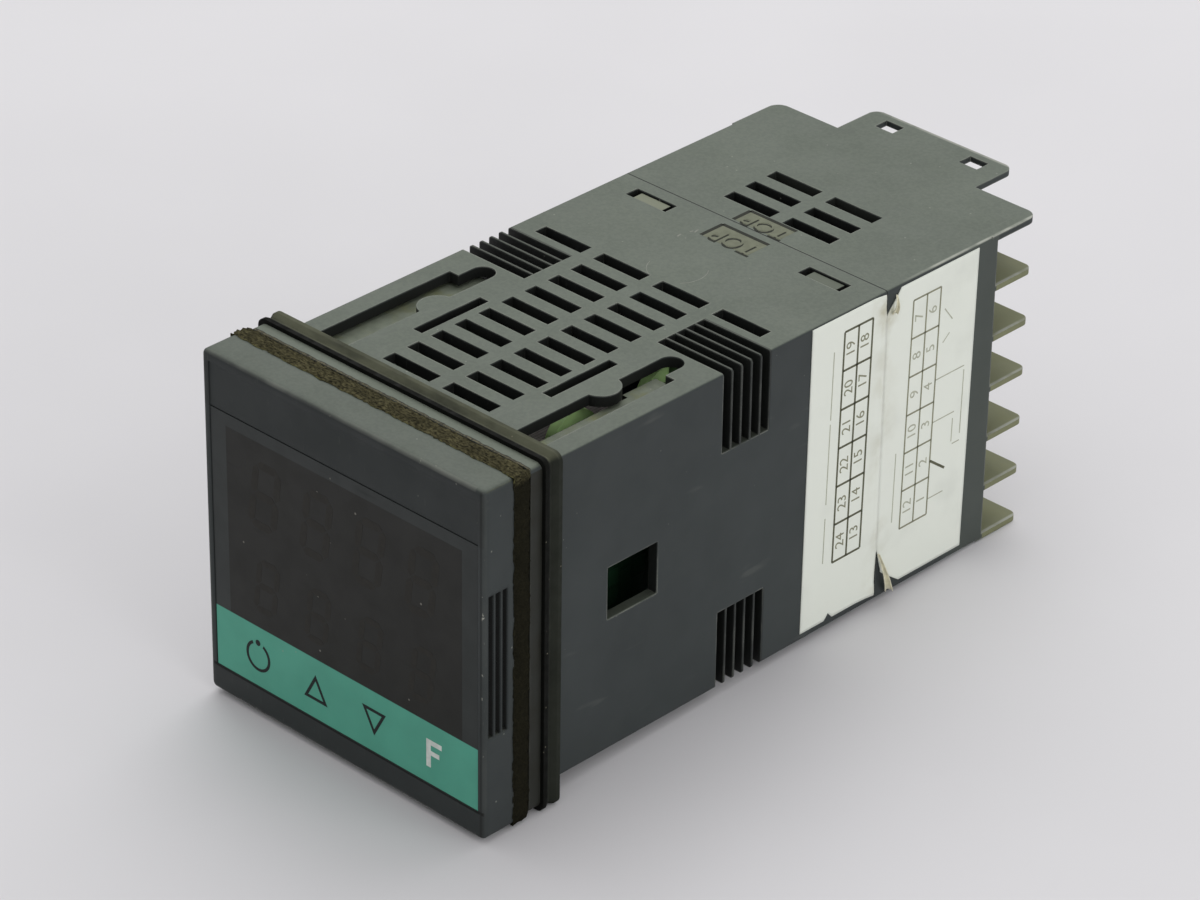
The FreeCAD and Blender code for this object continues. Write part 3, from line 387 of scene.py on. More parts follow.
def bezel_plastic():
    """The front frame, with a worn rim partly painted with highlight, pale chips, painted shade on its front
    face round the film and in its openings, a painted shadow line under the film and a painted shade line by
    the right edge.
    """
    # Painted shade in the recesses behind the film, in front of y = -1.
    marked = (FRONT_X, FILM_LOW.y + 0.4, -1.0)
    sh = moulded_plastic("bezel_plastic", scaled(PLASTIC, 0.92), 0.45, 0.0, marked, rounding=1.1)
    x = sh.axis("X")
    forward = sh.ramp(sh.facing(FORWARD), 0.6, 0.95)
    # Painted shade on the front face above and below the film.
    sh.stain(sh.times(forward, sh.above("Z", FILM_HIGH.z), 0.35), GRIME_AND_SHADE)
    sh.stain(sh.times(forward, sh.below("Z", FILM_LOW.z), 0.34), GRIME_AND_SHADE)
    # A painted shadow line under the film's lower edge.
    under_film = sh.ramp(sh.axis("Z"), FILM_LOW.z - 0.42, FILM_LOW.z - 0.26)
    sh.stain(sh.times(forward, under_film, sh.below("Z", FILM_LOW.z + 0.1)), scaled(GRIME_AND_SHADE, 0.3))
    # A painted shade line of a narrow groove near the right edge of the front face.
    groove_left = sh.ramp(x, FRONT_X - 0.85, FRONT_X - 0.68)
    groove_right = sh.ramp(x, FRONT_X - 0.38, FRONT_X - 0.52)
    sh.stain(sh.times(forward, groove_left, groove_right, 0.6), GRIME_AND_SHADE)
    deep = sh.math("SUBTRACT", sh.axis("Y"), FRONT_Y)
    # Pale rim: worn, and partly painted highlight; less on the right.
    rim = sh.ramp(sh.math("SUBTRACT", sh.wide(), deep), FRONT_X - 0.55, FRONT_X - 0.30)
    less_on_right = sh.ramp(sh.above("X", FRONT_X - 1.5), 0.0, 1.0, 1.0, 0.2)
    sh.stain(sh.times(rim, sh.patchy(8, 3, 0.05, 0.32), less_on_right), WORN_AND_HIGHLIGHT)
    sh.stain(sh.times(rim, sh.ramp(sh.noise(0.8, 3), 0.68, 0.74)), CHIP)
    return sh.material


def rubber(name):
    """Black rubber with brown dust caught behind its front lip, most of all on its upper side."""
    sh = Shader(name)
    behind_lip = sh.ramp(sh.axis("Y"), GASKET_LOW.y + 0.75, GASKET_LOW.y + 1.0)
    sh.set(
        Base_Color=sh.mix(behind_lip, scaled(RUBBER, 0.25), sh.mottled(RUBBER, 7, 0.8, 1.2)),
        Roughness=sh.patchy(1.2, 3, 0.62, 0.85),
        Normal=sh.bump(sh.noise(0.5, 3), 0.05, 0.7, sh.soft_edge(0.15)),
        Specular_IOR_Level=0.1,
    )
    up = sh.ramp(sh.facing(UPWARD), 0.35, 0.9, 0.04, 1.0)
    caught = sh.ramp(sh.noise(2.5, 4, (3.0, 1.0, 1.0)), 0.25, 0.65, 0.25, 1.0)
    sh.stain(sh.times(up, behind_lip, caught), RUBBER_DUST)
    sh.stain(sh.times(sh.specks(0.9, 0.12, 0.13), 0.5), RUBBER_SPECK)
    return sh.material


def foam(name):
    """Old open-cell foam: fine dark pores in olive brown, paler towards the top of the ring, with a yellow
    fringe in front.
    """
    sh = Shader(name)
    pores = sh.noise(0.24, 4, (2.2, 1.0, 1.0))
    tufts = sh.ramp(sh.noise(1.4, 3, (2.0, 1.0, 1.0)), 0.3, 0.7, 0.55, 1.0)
    up = sh.ramp(sh.axis("Z"), FOAM_HIGH.z - 1.2, FOAM_HIGH.z - 0.2, 0.08, 1.0)
    sh.set(
        Base_Color=sh.mix(sh.times(sh.ramp(pores, 0.25, 0.75), tufts, up), FOAM_DARK, FOAM_PALE),
        Roughness=0.95,
        Normal=sh.bump(pores, 0.3, 0.8),
        Specular_IOR_Level=0.04,
    )
    fringe = sh.ramp(sh.axis("Y"), FOAM_LOW.y + 0.25, FOAM_LOW.y - 0.25)
    sh.stain(sh.times(fringe, up, sh.ramp(pores, 0.4, 0.65), 0.6), FOAM_FRINGE)
    return sh.material


def paper(name):
    """Label paper: fibres, a few specks, and yellow stains along the seam, most of all at its ends; at the
    bottom end the stain also serves as painted shadow of the curl.
    """
    sh = Shader(name)
    sh.set(
        Base_Color=sh.mix(sh.ramp(sh.noise(8, 4), 0.5, 0.85), PAPER, scaled(PAPER, 0.90)),
        Roughness=sh.patchy(2, 3, 0.50, 0.66),
        Normal=sh.bump(sh.noise(0.35, 3), 0.012, 0.6),
    )
    by_seam = sh.times(sh.ramp(sh.off("Y", SEAM_Y), 3.4, 0.2), sh.ramp(sh.noise(4, 4), 0.42, 0.75))
    # The stain at the bottom end is partly painted shadow of the curl.
    ends = sh.ramp(sh.off("Z"), 15.0, 21.0, 0.25, 1.0)
    sh.stain(sh.times(by_seam, ends), PAPER_STAIN_AND_SHADOW)
    sh.stain(sh.times(sh.specks(2.6, 0.10, 0.10), 0.45), PAPER_SPECK)
    return sh.material


def film(name, window, strip_top):
    """Printed film: a slate border, a smudged dark window and a teal key strip, with specks and scuffs."""
    sh = Shader(name)
    x = sh.axis("X")
    z = sh.axis("Z")
    edge = 0.05
    (left, right), (bottom, top) = window
    inside = sh.times(
        sh.ramp(x, left - edge, left + edge),
        sh.ramp(x, right + edge, right - edge),
        sh.ramp(z, bottom - edge, bottom + edge),
        sh.ramp(z, top + edge, top - edge),
    )
    smudge = sh.ramp(sh.noise(7, 4), 0.45, 0.8)
    smoked = sh.mix(sh.times(smudge, 0.35), SMOKED, scaled(SMOKED, 1.7))
    scuffs = sh.ramp(sh.noise(1.5, 3, (6.0, 1.0, 1.0)), 0.68, 0.8)
    sh.set(
        Base_Color=sh.mix(inside, sh.mottled(SLATE, 5, 0.92, 1.08), smoked),
        Roughness=sh.math("ADD", sh.patchy(4, 4, 0.34, 0.48), sh.times(scuffs, 0.15)),
        Normal=sh.bump(sh.noise(0.22, 2), 0.006, 0.6),
        Specular_IOR_Level=0.20,
    )
    sh.stain(sh.ramp(z, strip_top + edge, strip_top - edge), sh.mottled(TEAL, 6, 0.94, 1.04))
    sh.stain(sh.times(sh.specks(2.2, 0.14, 0.09), 0.5), FILM_SPECK)
    return sh.material


def plain(name, colour, roughness, metal=0.0, vary=0.12, size=3.0):
    """A simple material with a little variation of tone, roughness and grain."""
    sh = Shader(name)
    sh.set(
        Base_Color=sh.mottled(colour, size, 1.0 - vary, 1.0 + vary),
        Roughness=sh.patchy(size * 0.6, 3, roughness - 0.06, roughness + 0.08),
        Normal=sh.bump(sh.noise(0.2, 2), 0.006, 0.6, sh.soft_edge(0.08)),
        Metallic=metal,
    )
    return sh.material


def ink(name, colour):
    """Matt print that lies flat on its face, a little uneven."""
    sh = Shader(name)
    sh.set(Base_Color=sh.mottled(colour, 1.0, 0.9, 1.1), Roughness=0.6, Specular_IOR_Level=0.2)
    return sh.material


def circuit_board(name):
    """Green solder resist over copper tracks, with scattered solder dots."""
    sh = Shader(name)
    turned = sh.add("ShaderNodeMapping", None, {"Vector": sh.place, "Rotation": (0.0, math.pi / 2, 0.0)})
    tracks = sh.add("ShaderNodeTexBrick", {"offset": 0.37, "squash": 0.6}, {
        "Vector": turned.outputs[0], "Scale": 1.0 / (9.0 * MM), "Mortar Size": 0.035, "Mortar Smooth": 0.2,
    }).outputs["Fac"]
    solder = sh.specks(2.54, 0.35, 0.24)
    sh.set(
        Base_Color=sh.mottled(BOARD_GREEN, 6, 0.85, 1.1, 2),
        Metallic=sh.times(solder, 0.8),
        Roughness=sh.patchy(3, 2, 0.28, 0.42),
        Normal=sh.bump(sh.math("ADD", sh.times(tracks, 0.4), solder), 0.06, 0.8),
    )
    sh.stain(sh.times(tracks, 0.55), scaled(BOARD_GREEN, 0.5))
    sh.stain(solder, SOLDER)
    return sh.material


def laminated_steel(name):
    """Varnished core sheets, stacked along X."""
    sh = Shader(name)
    gap = sh.ramp(sh.math("FRACT", sh.times(sh.axis("X"), SHEETS_PER_MM)), 0.16, 0.04)
    sh.set(
        Base_Color=sh.mix(sh.patchy(3, 3), CORE_DARK, CORE_PALE),
        Roughness=sh.patchy(2, 3, 0.35, 0.55),
        Normal=sh.bump(gap, 0.08, 0.8),
        Metallic=0.7,
    )
    sh.stain(gap, CORE_GAP)
    return sh.material


def taped_winding(name):
    """Turns of amber tape over the winding."""
    sh = Shader(name)
    lap = sh.ramp(sh.math("FRACT", sh.times(sh.axis("Y"), TURNS_PER_MM)), 0.10, 0.02)
    sh.set(
        Base_Color=sh.mix(sh.patchy(2, 3), TAPE_DARK, TAPE_PALE),
        Roughness=sh.patchy(1.5, 3, 0.25, 0.42),
        Normal=sh.bump(sh.math("ADD", lap, sh.noise(0.8, 3)), 0.06, 0.7),
    )
    sh.stain(lap, TAPE_LAP)
    return sh.material


def add_object(name, data):
    made = bpy.data.objects.new(name, data)
    bpy.context.scene.collection.objects.link(made)
    return made


def shown_mesh(holder):
    """A new mesh of an object as it is shown, with its modifiers applied."""
    bpy.context.view_layer.update()
    shown = holder.evaluated_get(bpy.context.evaluated_depsgraph_get())
    return bpy.data.meshes.new_from_object(shown)


def mesh_of(shape, name):
    """Turn a bmesh into a mesh, and free it."""
    data = bpy.data.meshes.new(name)
    shape.to_mesh(data)
    shape.free()
    return data


def mesh_piece(name, points, faces, material, body, smooth=False):
    """A mesh from points in millimetres that rides on a body."""
    data = bpy.data.meshes.new(name)
    data.from_pydata([Vector(point) * MM for point in points], [], faces)
    data.validate()
    data.update()
    return finish_piece(name, data, material, body, smooth)


def finish_piece(name, data, material, body, smooth):
    data.materials.clear()
    data.materials.append(material)
    for polygon in data.polygons:
        polygon.use_smooth = smooth
    piece = add_object(name, data)
    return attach(piece, body)


def grid_faces(start, rows, columns):
    """Faces between the points of a grid that were laid row by row."""
    faces = []
    for row in range(rows - 1):
        for column in range(columns - 1):
            corner = start + row * columns + column
            faces.append([corner, corner + 1, corner + columns + 1, corner + columns])
    return faces


def thicken_paper(piece, offset):
    sheet = piece.modifiers.new("paper", "SOLIDIFY")
    sheet.thickness = PAPER_THICK * MM
    sheet.offset = offset


class Solids:
    """Gathers simple closed shapes, in millimetres, into one mesh."""

    def __init__(self):
        self.points = []
        self.faces = []

    def prism(self, outline, across, thickness):
        """A flat outline, given as points in a plane, thickened along a vector."""
        start = len(self.points)
        count = len(outline)
        lift = Vector(across) * thickness
        self.points += [Vector(point) for point in outline]
        self.points += [Vector(point) + lift for point in outline]
        self.faces.append([start + index for index in reversed(range(count))])
        self.faces.append([start + count + index for index in range(count)])
        for index in range(count):
            after = (index + 1) % count
            self.faces.append([start + index, start + after, start + count + after, start + count + index])

    def band(self, outer, inner, across, thickness):
        """A closed ring between two outlines with as many points each."""
        start = len(self.points)
        count = len(outer)
        lift = Vector(across) * thickness
        for ring in (outer, inner):
            self.points += [Vector(point) for point in ring]
            self.points += [Vector(point) + lift for point in ring]
        loops = [start + count * step for step in range(4)]
        for index in range(count):
            after = (index + 1) % count
            low, high, in_low, in_high = loops
            self.faces.append([low + index, low + after, high + after, high + index])
            self.faces.append([in_low + after, in_low + index, in_high + index, in_high + after])
            self.faces.append([high + index, high + after, in_high + after, in_high + index])
            self.faces.append([low + after, low + index, in_low + index, in_low + after])

    def strip(self, first, last, width, across, thickness):
        """A straight printed line between two points of a face."""
        first = Vector(first)
        last = Vector(last)
        side = (last - first).cross(Vector(across)).normalized() * (width / 2)
        self.prism([first - side, last - side, last + side, first + side], across, thickness)

    def text(self, words, place, right, up, height, thickness):
        """Words set on a face: right and up are the directions of reading and of the letters' tops."""
        data = text_mesh(words, height, thickness)
        right = Vector(right)
        up = Vector(up)
        out = right.cross(up)
        start = len(self.points)
        for vertex in data.vertices:
            point = vertex.co
            self.points.append(Vector(place) + right * point.x + up * point.y + out * point.z)
        self.faces += [[start + index for index in polygon.vertices] for polygon in data.polygons]
        bpy.data.meshes.remove(data)

    def piece(self, name, material, body):
        made = mesh_piece(name, self.points, self.faces, material, body)
        tidy = bmesh.new()
        tidy.from_mesh(made.data)
        bmesh.ops.recalc_face_normals(tidy, faces=tidy.faces)
        tidy.to_mesh(made.data)
        tidy.free()


CAPITAL_SHARE = 0.70


def text_mesh(words, height, thickness):
    """A mesh of words whose capitals have this height, in millimetres."""
    curve = bpy.data.curves.new("words", "FONT")
    curve.body = words
    curve.size = height / CAPITAL_SHARE
    curve.extrude = thickness / 2
    curve.resolution_u = 4
    curve.align_x = "CENTER"
    curve.align_y = "CENTER"
    holder = add_object("words", curve)
    data = shown_mesh(holder)
    bpy.data.objects.remove(holder)
    bpy.data.curves.remove(curve)
    return data


def arc(centre, radius, angles, count, rise=UPWARD):
    """Points on an arc, with angles in degrees from +X towards the direction of rise."""
    start, end = angles
    points = []
    for index in range(count):
        angle = math.radians(start + (end - start) * index / (count - 1))
        spoke = math.cos(angle) * Vector(OUTWARD) + math.sin(angle) * Vector(rise)
        points.append(Vector(centre) + radius * spoke)
    return points


def arc_line(centre, radius, width, angles, count, rise=UPWARD):
    """The outline of a line along an arc, from its outer radius inwards."""
    outer = arc(centre, radius, angles, count, rise)
    return outer + arc(centre, radius - width, angles, count, rise)[::-1]


def shrunk_triangle(corners, amount):
    """The corners of a triangle moved in towards its middle by a line's width."""
    middle = sum(corners, Vector()) / 3
    sides = [(corners[index] - corners[index - 1]).length for index in range(3)]
    area = (corners[1] - corners[0]).cross(corners[2] - corners[0]).length / 2
    inner_radius = 2 * area / sum(sides)
    return [middle + (corner - middle) * (1 - amount / inner_radius) for corner in corners]


KEYS = ("cycle", "up", "down", "function")

# Front print: legends on the key strip and the digits that show through the smoked window
WINDOW_X = (-20.2, 20.2)
STRIP_TOP_Z = -11.6
WINDOW_Z = (STRIP_TOP_Z, 14.7)
KEY_Z = -15.9
INK = 0.02
LEGEND_LINE = 0.42
LEGEND_RING_RADIUS = 2.15
LEGEND_RING_ARC = (118, 422)
LEGEND_DOT_RISE = 1.95
LEGEND_DOT_RADIUS = 0.42
TRIANGLE_HALF_WIDTH = 2.05
TRIANGLE_BASE = 1.75
TRIANGLE_TIP = 1.95
LETTER_CORNER = (-1.25, -1.95)
LETTER_OUTLINE = (
    (0.0, 0.0), (0.75, 0.0), (0.75, 1.75), (2.2, 1.75), (2.2, 2.4),
    (0.75, 2.4), (0.75, 3.2), (2.6, 3.2), (2.6, 3.9), (0.0, 3.9),
)
DIGIT_ROWS = ((7.4, 9.6), (-5.4, 7.8))
DIGIT_PITCH = 9.0
DIGIT_LEAN = 0.14
DIGIT_WIDTH_SHARE = 0.52
DIGIT_BAR_SHARE = 0.115
DIGIT_GAP_SHARE = 0.15
DIGIT_SEGMENTS = (
    (0, 1, False), (0, 0, False), (0, -1, False),
    (-1, 0.5, True), (1, 0.5, True), (-1, -0.5, True), (1, -0.5, True),
)
PRINT_Y = FILM_LOW.y


def key_places():
    """The middle of each key, from its solid."""
    places = []
    for name in KEYS:
        low, high = millimetres("key_" + name)
        places.append(((low.x + high.x) / 2, PRINT_Y, KEY_Z))
    return places


def build_legends(dark, pale):
    cycle, up, down, function = key_places()
    lines = Solids()
    lines.prism(arc_line(cycle, LEGEND_RING_RADIUS, LEGEND_LINE, LEGEND_RING_ARC, 40), FORWARD, INK)
    dot = (cycle[0], cycle[1], cycle[2] + LEGEND_DOT_RISE)
    lines.prism(arc(dot, LEGEND_DOT_RADIUS, (0, 345), 24), FORWARD, INK)
    for place, sign in ((up, 1), (down, -1)):
        middle = Vector(place)
        corners = [
            middle + Vector((-TRIANGLE_HALF_WIDTH, 0, -TRIANGLE_BASE * sign)),
            middle + Vector((TRIANGLE_HALF_WIDTH, 0, -TRIANGLE_BASE * sign)),
            middle + Vector((0, 0, TRIANGLE_TIP * sign)),
        ]
        lines.band(corners, shrunk_triangle(corners, LEGEND_LINE), FORWARD, INK)
    lines.piece("key_legends", dark, "module")

    letter = Solids()
    left = function[0] + LETTER_CORNER[0]
    low = function[2] + LETTER_CORNER[1]
    letter.prism([(left + x, PRINT_Y, low + z) for x, z in LETTER_OUTLINE], FORWARD, INK)
    letter.piece("function_legend", pale, "module")


def build_ghost_digits(material):
    """Unlit segments that show faintly through the smoked window, in two rows of four digits."""
    digits = Solids()
    sideways = Vector(OUTWARD)
    leaning = Vector((DIGIT_LEAN, 0, 1))
    for row_z, height in DIGIT_ROWS:
        width = height * DIGIT_WIDTH_SHARE
        bar = height * DIGIT_BAR_SHARE
        for column in range(4):
            middle_x = (column - 1.5) * DIGIT_PITCH
            for side, level, upright in DIGIT_SEGMENTS:
                centre_z = row_z + level * (height - bar) / 2
                lean = DIGIT_LEAN * (centre_z - row_z)
                centre = Vector((middle_x + side * (width - bar) / 2 + lean, PRINT_Y, centre_z))
                along, over = (leaning, sideways) if upright else (sideways, leaning)
                half = ((height - bar) / 4 if upright else (width - bar) / 2) - bar * DIGIT_GAP_SHARE
                tip = along * half
                shoulder = along * (half - bar / 2)
                thick = over * bar / 2
                digits.prism([
                    centre - tip, centre - shoulder + thick, centre + shoulder + thick,
                    centre + tip, centre + shoulder - thick, centre - shoulder - thick,
                ], FORWARD, INK / 2)
    digits.piece("unlit_digits", material, "module")


# Foam ring: squeezed out a little between the bezel and the flange, with crumbly faces
FOAM_CELL = 0.40
FOAM_PROUD = 0.40
FOAM_OVERHANG = 0.28
FOAM_SECTIONS = 11
FOAM_WIDTH = 2.2


def build_foam(material):
    """The foam ring as a fine mesh with pitted, uneven outer faces that bulge over the bezel's edge."""
    inner = FOAM_HIGH.x - FOAM_WIDTH
    per_side = int(2 * FOAM_HIGH.x / FOAM_CELL)
    perimeter = []
    for side in range(4):
        turn = Matrix.Rotation(math.pi / 2 * side, 3, "Y")
        for step in range(per_side):
            perimeter.append(turn @ Vector((-1 + 2 * step / per_side, 0, 1)))
    points = []
    count = FOAM_SECTIONS + 4
    for spot in perimeter:
        at_edge = Vector((spot.x * FOAM_HIGH.x, 0.0, spot.z * FOAM_HIGH.x))
        ragged = FOAM_OVERHANG * (0.5 + 0.9 * noise.noise(at_edge * 0.55) + 0.8 * noise.noise(at_edge * 1.9))
        front = FOAM_LOW.y - ragged
        lip = FRONT_X + 0.02 if ragged > 0 else FOAM_HIGH.x - 0.3
        section = [(inner, FOAM_LOW.y), (FRONT_X + 0.02 if ragged > 0 else inner, FOAM_LOW.y), (lip, front)]
        for index in range(FOAM_SECTIONS):
            share = index / (FOAM_SECTIONS - 1)
            y = front + (FOAM_HIGH.y - front) * share
            crown = FOAM_PROUD * (1 - abs(1.6 * share - 0.7) ** 2)
            pits = noise.fractal(Vector((at_edge.x, y * 1.5, at_edge.z)) * 1.6, 0.6, 2.0, 4)
            reach = max(FOAM_HIGH.x + crown * 0.8 + 0.22 * pits, FOAM_HIGH.x - 0.5)
            if index == 0:
                reach = max(reach, lip + 0.03)
            section.append((reach, y))
        section.append((inner, FOAM_HIGH.y))
        points += [Vector((spot.x * reach, y, spot.z * reach)) for reach, y in section]
    faces = []
    for index in range(len(perimeter)):
        after = (index + 1) % len(perimeter)
        for ring in range(count):
            step = (ring + 1) % count
            here = index * count
            there = after * count
            faces.append([here + ring, there + ring, there + step, here + step])
    piece = mesh_piece("crumbling_foam", points, faces, material, "module", True)
    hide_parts("foam_gasket")


# Paper label: two halves that part at the seam, with lifted torn corners
PAPER_THICK = 0.1
PAPER_GAP = 0.01
LABEL_ROWS = 96
LABEL_COLUMNS = 34
LABEL_RISE = 0.2
LABEL_LEAN = 0.018
LABEL_FRONT_LEAN = 0.008
TEAR_BOTTOM = 6.2
TEAR_BOTTOM_WIDTH = 4.5
TEAR_CORNER = 2.6
TEAR_SLIT = 0.9
TEAR_TOP = 3.0
TEAR_TOP_WIDTH = 2.6
TEAR_LEAD = 0.5
NICK_PLACE = 5.2
NICK_DEPTH = 0.9
NICK_WIDTH = 0.7
NICK_ROWS = 6
TEAR_ROUGHNESS = 0.16
LIFT = 0.45
LIFT_CORNERS = ((LABEL_LOW.z, 4.0), (LABEL_HIGH.z, 2.6))


def leaning_front_edge(z):
    """The label was stuck on at a slight lean, so its front edge runs back a little towards the top."""
    return LABEL_LOW.y + LABEL_FRONT_LEAN * (z - LABEL_LOW.z)


def leaning_rear_edge(z):
    return LABEL_HIGH.y - LABEL_LEAN * (LABEL_HIGH.z - z)


def torn_front_edge(z):
    """Where the front half ends at a height: it draws back a little at both ends of the seam."""
    from_bottom = max(0.0, 1 - (z - LABEL_LOW.z) / TEAR_BOTTOM)
    from_top = max(0.0, 1 - (LABEL_HIGH.z - z) / TEAR_TOP)
    return SEAM_Y - TEAR_LEAD * max(from_bottom, from_top)


def torn_rear_edge(z):
    """Where the rear half starts at a height: wide tears at the bottom and the top of the seam."""
    slit = min(1.0, max(0.0, 2 * (1 - (z - LABEL_LOW.z) / TEAR_BOTTOM)))
    corner = max(0.0, 1 - (z - LABEL_LOW.z) / TEAR_CORNER)
    from_top = max(0.0, 1 - (LABEL_HIGH.z - z) / TEAR_TOP)
    bottom_tear = TEAR_SLIT * slit + (TEAR_BOTTOM_WIDTH - TEAR_SLIT) * corner
    return SEAM_Y + max(bottom_tear, TEAR_TOP_WIDTH * from_top)


def lifted(y, z):
    """How far the paper stands off the plastic: it curls at the torn corners."""
    lift = 0.0
    for corner_z, reach in LIFT_CORNERS:
        near = 1 - math.hypot((y - SEAM_Y) * 0.9, z - corner_z) / reach
        lift = max(lift, LIFT * max(near, 0.0) ** 2)
    return lift


def build_label(material):
    points = []
    faces = []
    halves = (
        (leaning_front_edge, torn_front_edge, LABEL_HIGH.z + LABEL_RISE),
        (torn_rear_edge, leaning_rear_edge, LABEL_HIGH.z),
    )
    for front_edge, rear_edge, top in halves:
        start = len(points)
        for row in range(LABEL_ROWS + 1):
            z = LABEL_LOW.z + (top - LABEL_LOW.z) * row / LABEL_ROWS
            front = front_edge(z)
            rear = rear_edge(z)
            ragged = abs(TEAR_ROUGHNESS * noise.noise(Vector((3.1, 0.0, z * 1.4))))
            if front > SEAM_Y:
                front += ragged
            if rear < SEAM_Y:
                rear -= ragged
            for column in range(LABEL_COLUMNS + 1):
                y = front + (rear - front) * column / LABEL_COLUMNS
                nick = NICK_DEPTH * max(0.0, 1 - abs(y - LABEL_LOW.y - NICK_PLACE) / NICK_WIDTH)
                share = max(0.0, 1 - row / NICK_ROWS)
                x = SIDE_X + PAPER_GAP + lifted(y, z)
                points.append((x, y, z + nick * share))
        faces += grid_faces(start, LABEL_ROWS + 1, LABEL_COLUMNS + 1)
    piece = mesh_piece("paper_label", points, faces, material, "case", True)
    thicken_paper(piece, 1.0)
    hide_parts("wiring_label")


# Torn strips that roll out of the seam: where each starts and ends on the side, and its radius
CURLS = (
    (Vector((0.0, 59.25, -15.6)), Vector((0.0, 61.1, -21.6)), 0.55),
    (Vector((0.0, 60.5, 21.3)), Vector((0.0, 60.0, 18.9)), 0.38),
)
CURL_ROWS = 12
CURL_STEPS = 14
CURL_START = -80
CURL_TURN = 230
CURL_BOW = 0.5


def build_paper_curls(material):
    points = []
    faces = []
    for first, last, radius in CURLS:
        start = len(points)
        for row in range(CURL_ROWS):
            share = row / (CURL_ROWS - 1)
            bow = CURL_BOW * math.sin(math.pi * share)
            middle = first.lerp(last, share) + Vector((SIDE_X + 0.15 + bow, -0.35 * bow, 0.0))
            size = radius * (0.30 + 0.70 * share)
            for step in range(CURL_STEPS):
                angle = math.radians(CURL_START + CURL_TURN * step / (CURL_STEPS - 1))
                points.append(middle + Vector((size * (1 - math.cos(angle)), size * math.sin(angle), 0.0)))
        faces += grid_faces(start, CURL_ROWS, CURL_STEPS)
    piece = mesh_piece("paper_curls", points, faces, material, "case", True)
    thicken_paper(piece, -1.0)


# Print on the label: two tables of terminal numbers and plain wiring lines
PRINT_X = SIDE_X + PAPER_GAP + PAPER_THICK - 0.005
TABLE_WIDTH = 5.2
TABLE_CELLS = 6
TABLE_HEIGHT = 32.7
TABLE_LINE = 0.31
TABLE_LEAN = 0.022
NUMBER_HEIGHT = 1.55
FRONT_TABLE = (50.4, 19.6)
REAR_TABLE = (63.2, 19.1)
WIRE_LINE = 0.16
WIRES = (
    ((48.6, 17.5), (48.6, 8.0)), ((48.6, 7.4), (48.6, -4.0)), ((48.6, -6.0), (48.6, -12.5)),
    ((68.4, 5.8), (74.0, 5.8)), ((74.0, 5.2), (74.0, -4.0)), ((68.4, -0.3), (72.6, -0.3)),
    ((72.4, -1.2), (72.4, -4.6)), ((72.6, -5.0), (74.0, -5.0)), ((68.4, -11.4), (71.4, -11.4)),
    ((61.6, -2.0), (61.6, -12.0)), ((69.4, 15.6), (71.0, 13.6)), ((69.4, 10.8), (70.6, 11.8)),
)
DARK_WIRE = ((68.4, -5.8), (71.4, -8.0))
DARK_WIRE_LINE = 0.34


def on_label(y, z):
    """A place on the paper, with the lean of the print."""
    return Vector((PRINT_X, y + TABLE_LEAN * (z + TABLE_HEIGHT / 2), z))


def build_label_print(dark, pale, faded):
    """The front table is dark and crisp; the rear table and the wiring lines have faded."""
    front_lines = Solids()
    front_numbers = Solids()
    rear_lines = Solids()
    rear_numbers = Solids()
    tables = (
        (*FRONT_TABLE, range(19, 25), range(18, 12, -1), front_lines, front_numbers, TABLE_LINE),
        (*REAR_TABLE, range(7, 13), range(6, 0, -1), rear_lines, rear_numbers, TABLE_LINE * 0.8),
    )
    for front_y, top_z, left_numbers, right_numbers, lines, numbers, width in tables:
        cell = TABLE_HEIGHT / TABLE_CELLS
        for index in range(3):
            y = front_y + TABLE_WIDTH / 2 * index
            lines.strip(on_label(y, top_z), on_label(y, top_z - TABLE_HEIGHT), width, OUTWARD, INK)
        for index in range(TABLE_CELLS + 1):
            z = top_z - cell * index
            lines.strip(on_label(front_y, z), on_label(front_y + TABLE_WIDTH, z), width, OUTWARD, INK)
        for column, column_numbers in enumerate((left_numbers, right_numbers)):
            y = front_y + TABLE_WIDTH * (0.25 + 0.5 * column)
            for index, number in enumerate(column_numbers):
                place = on_label(y, top_z - cell * (index + 0.5)) + Vector((INK / 2, 0.0, 0.0))
                numbers.text(str(number), place, UPWARD, FORWARD, NUMBER_HEIGHT, INK)
    for first, last in WIRES:
        rear_numbers.strip(on_label(*first), on_label(*last), WIRE_LINE, OUTWARD, INK)
    first, last = DARK_WIRE
    front_lines.strip(on_label(*first), on_label(*last), DARK_WIRE_LINE, OUTWARD, INK)
    front_lines.piece("label_front_table", dark, "case")
    front_numbers.piece("label_front_numbers", pale, "case")
    rear_lines.piece("label_rear_table", pale, "case")
    rear_numbers.piece("label_rear_numbers", faded, "case")


# Marks on top: a raised word in a shallow box on each side of the seam, arcs of an ejector ring, and scuffs
MARK_HALF_WIDTH = 3.9
MARK_LINE = 0.56
MARK_INK = 0.01
MARK_FRONT_GAP = 0.25
MARK_LETTER_WIDTH = 2.6
MARK_SHIFT = 0.35
MARK_SHADE = Vector((0.29, -0.46, 0.0))
MARKS = ((57.45, 4.0, 2.9), (62.6, 3.2, 2.45))
RING_CENTRE = Vector((0.15, 44.85, TOP_Z))
RING_RADIUS = 3.90
RING_LINE = 0.10
RING_ARCS = ((195, 250), (-42, 38))
SCUFF_LINE = 0.22
SCUFFS = (((-4.9, 53.3), (-5.1, 54.2)), ((-5.7, 51.0), (-5.8, 51.8)), ((-5.4, 53.0), (-5.3, 53.5)))


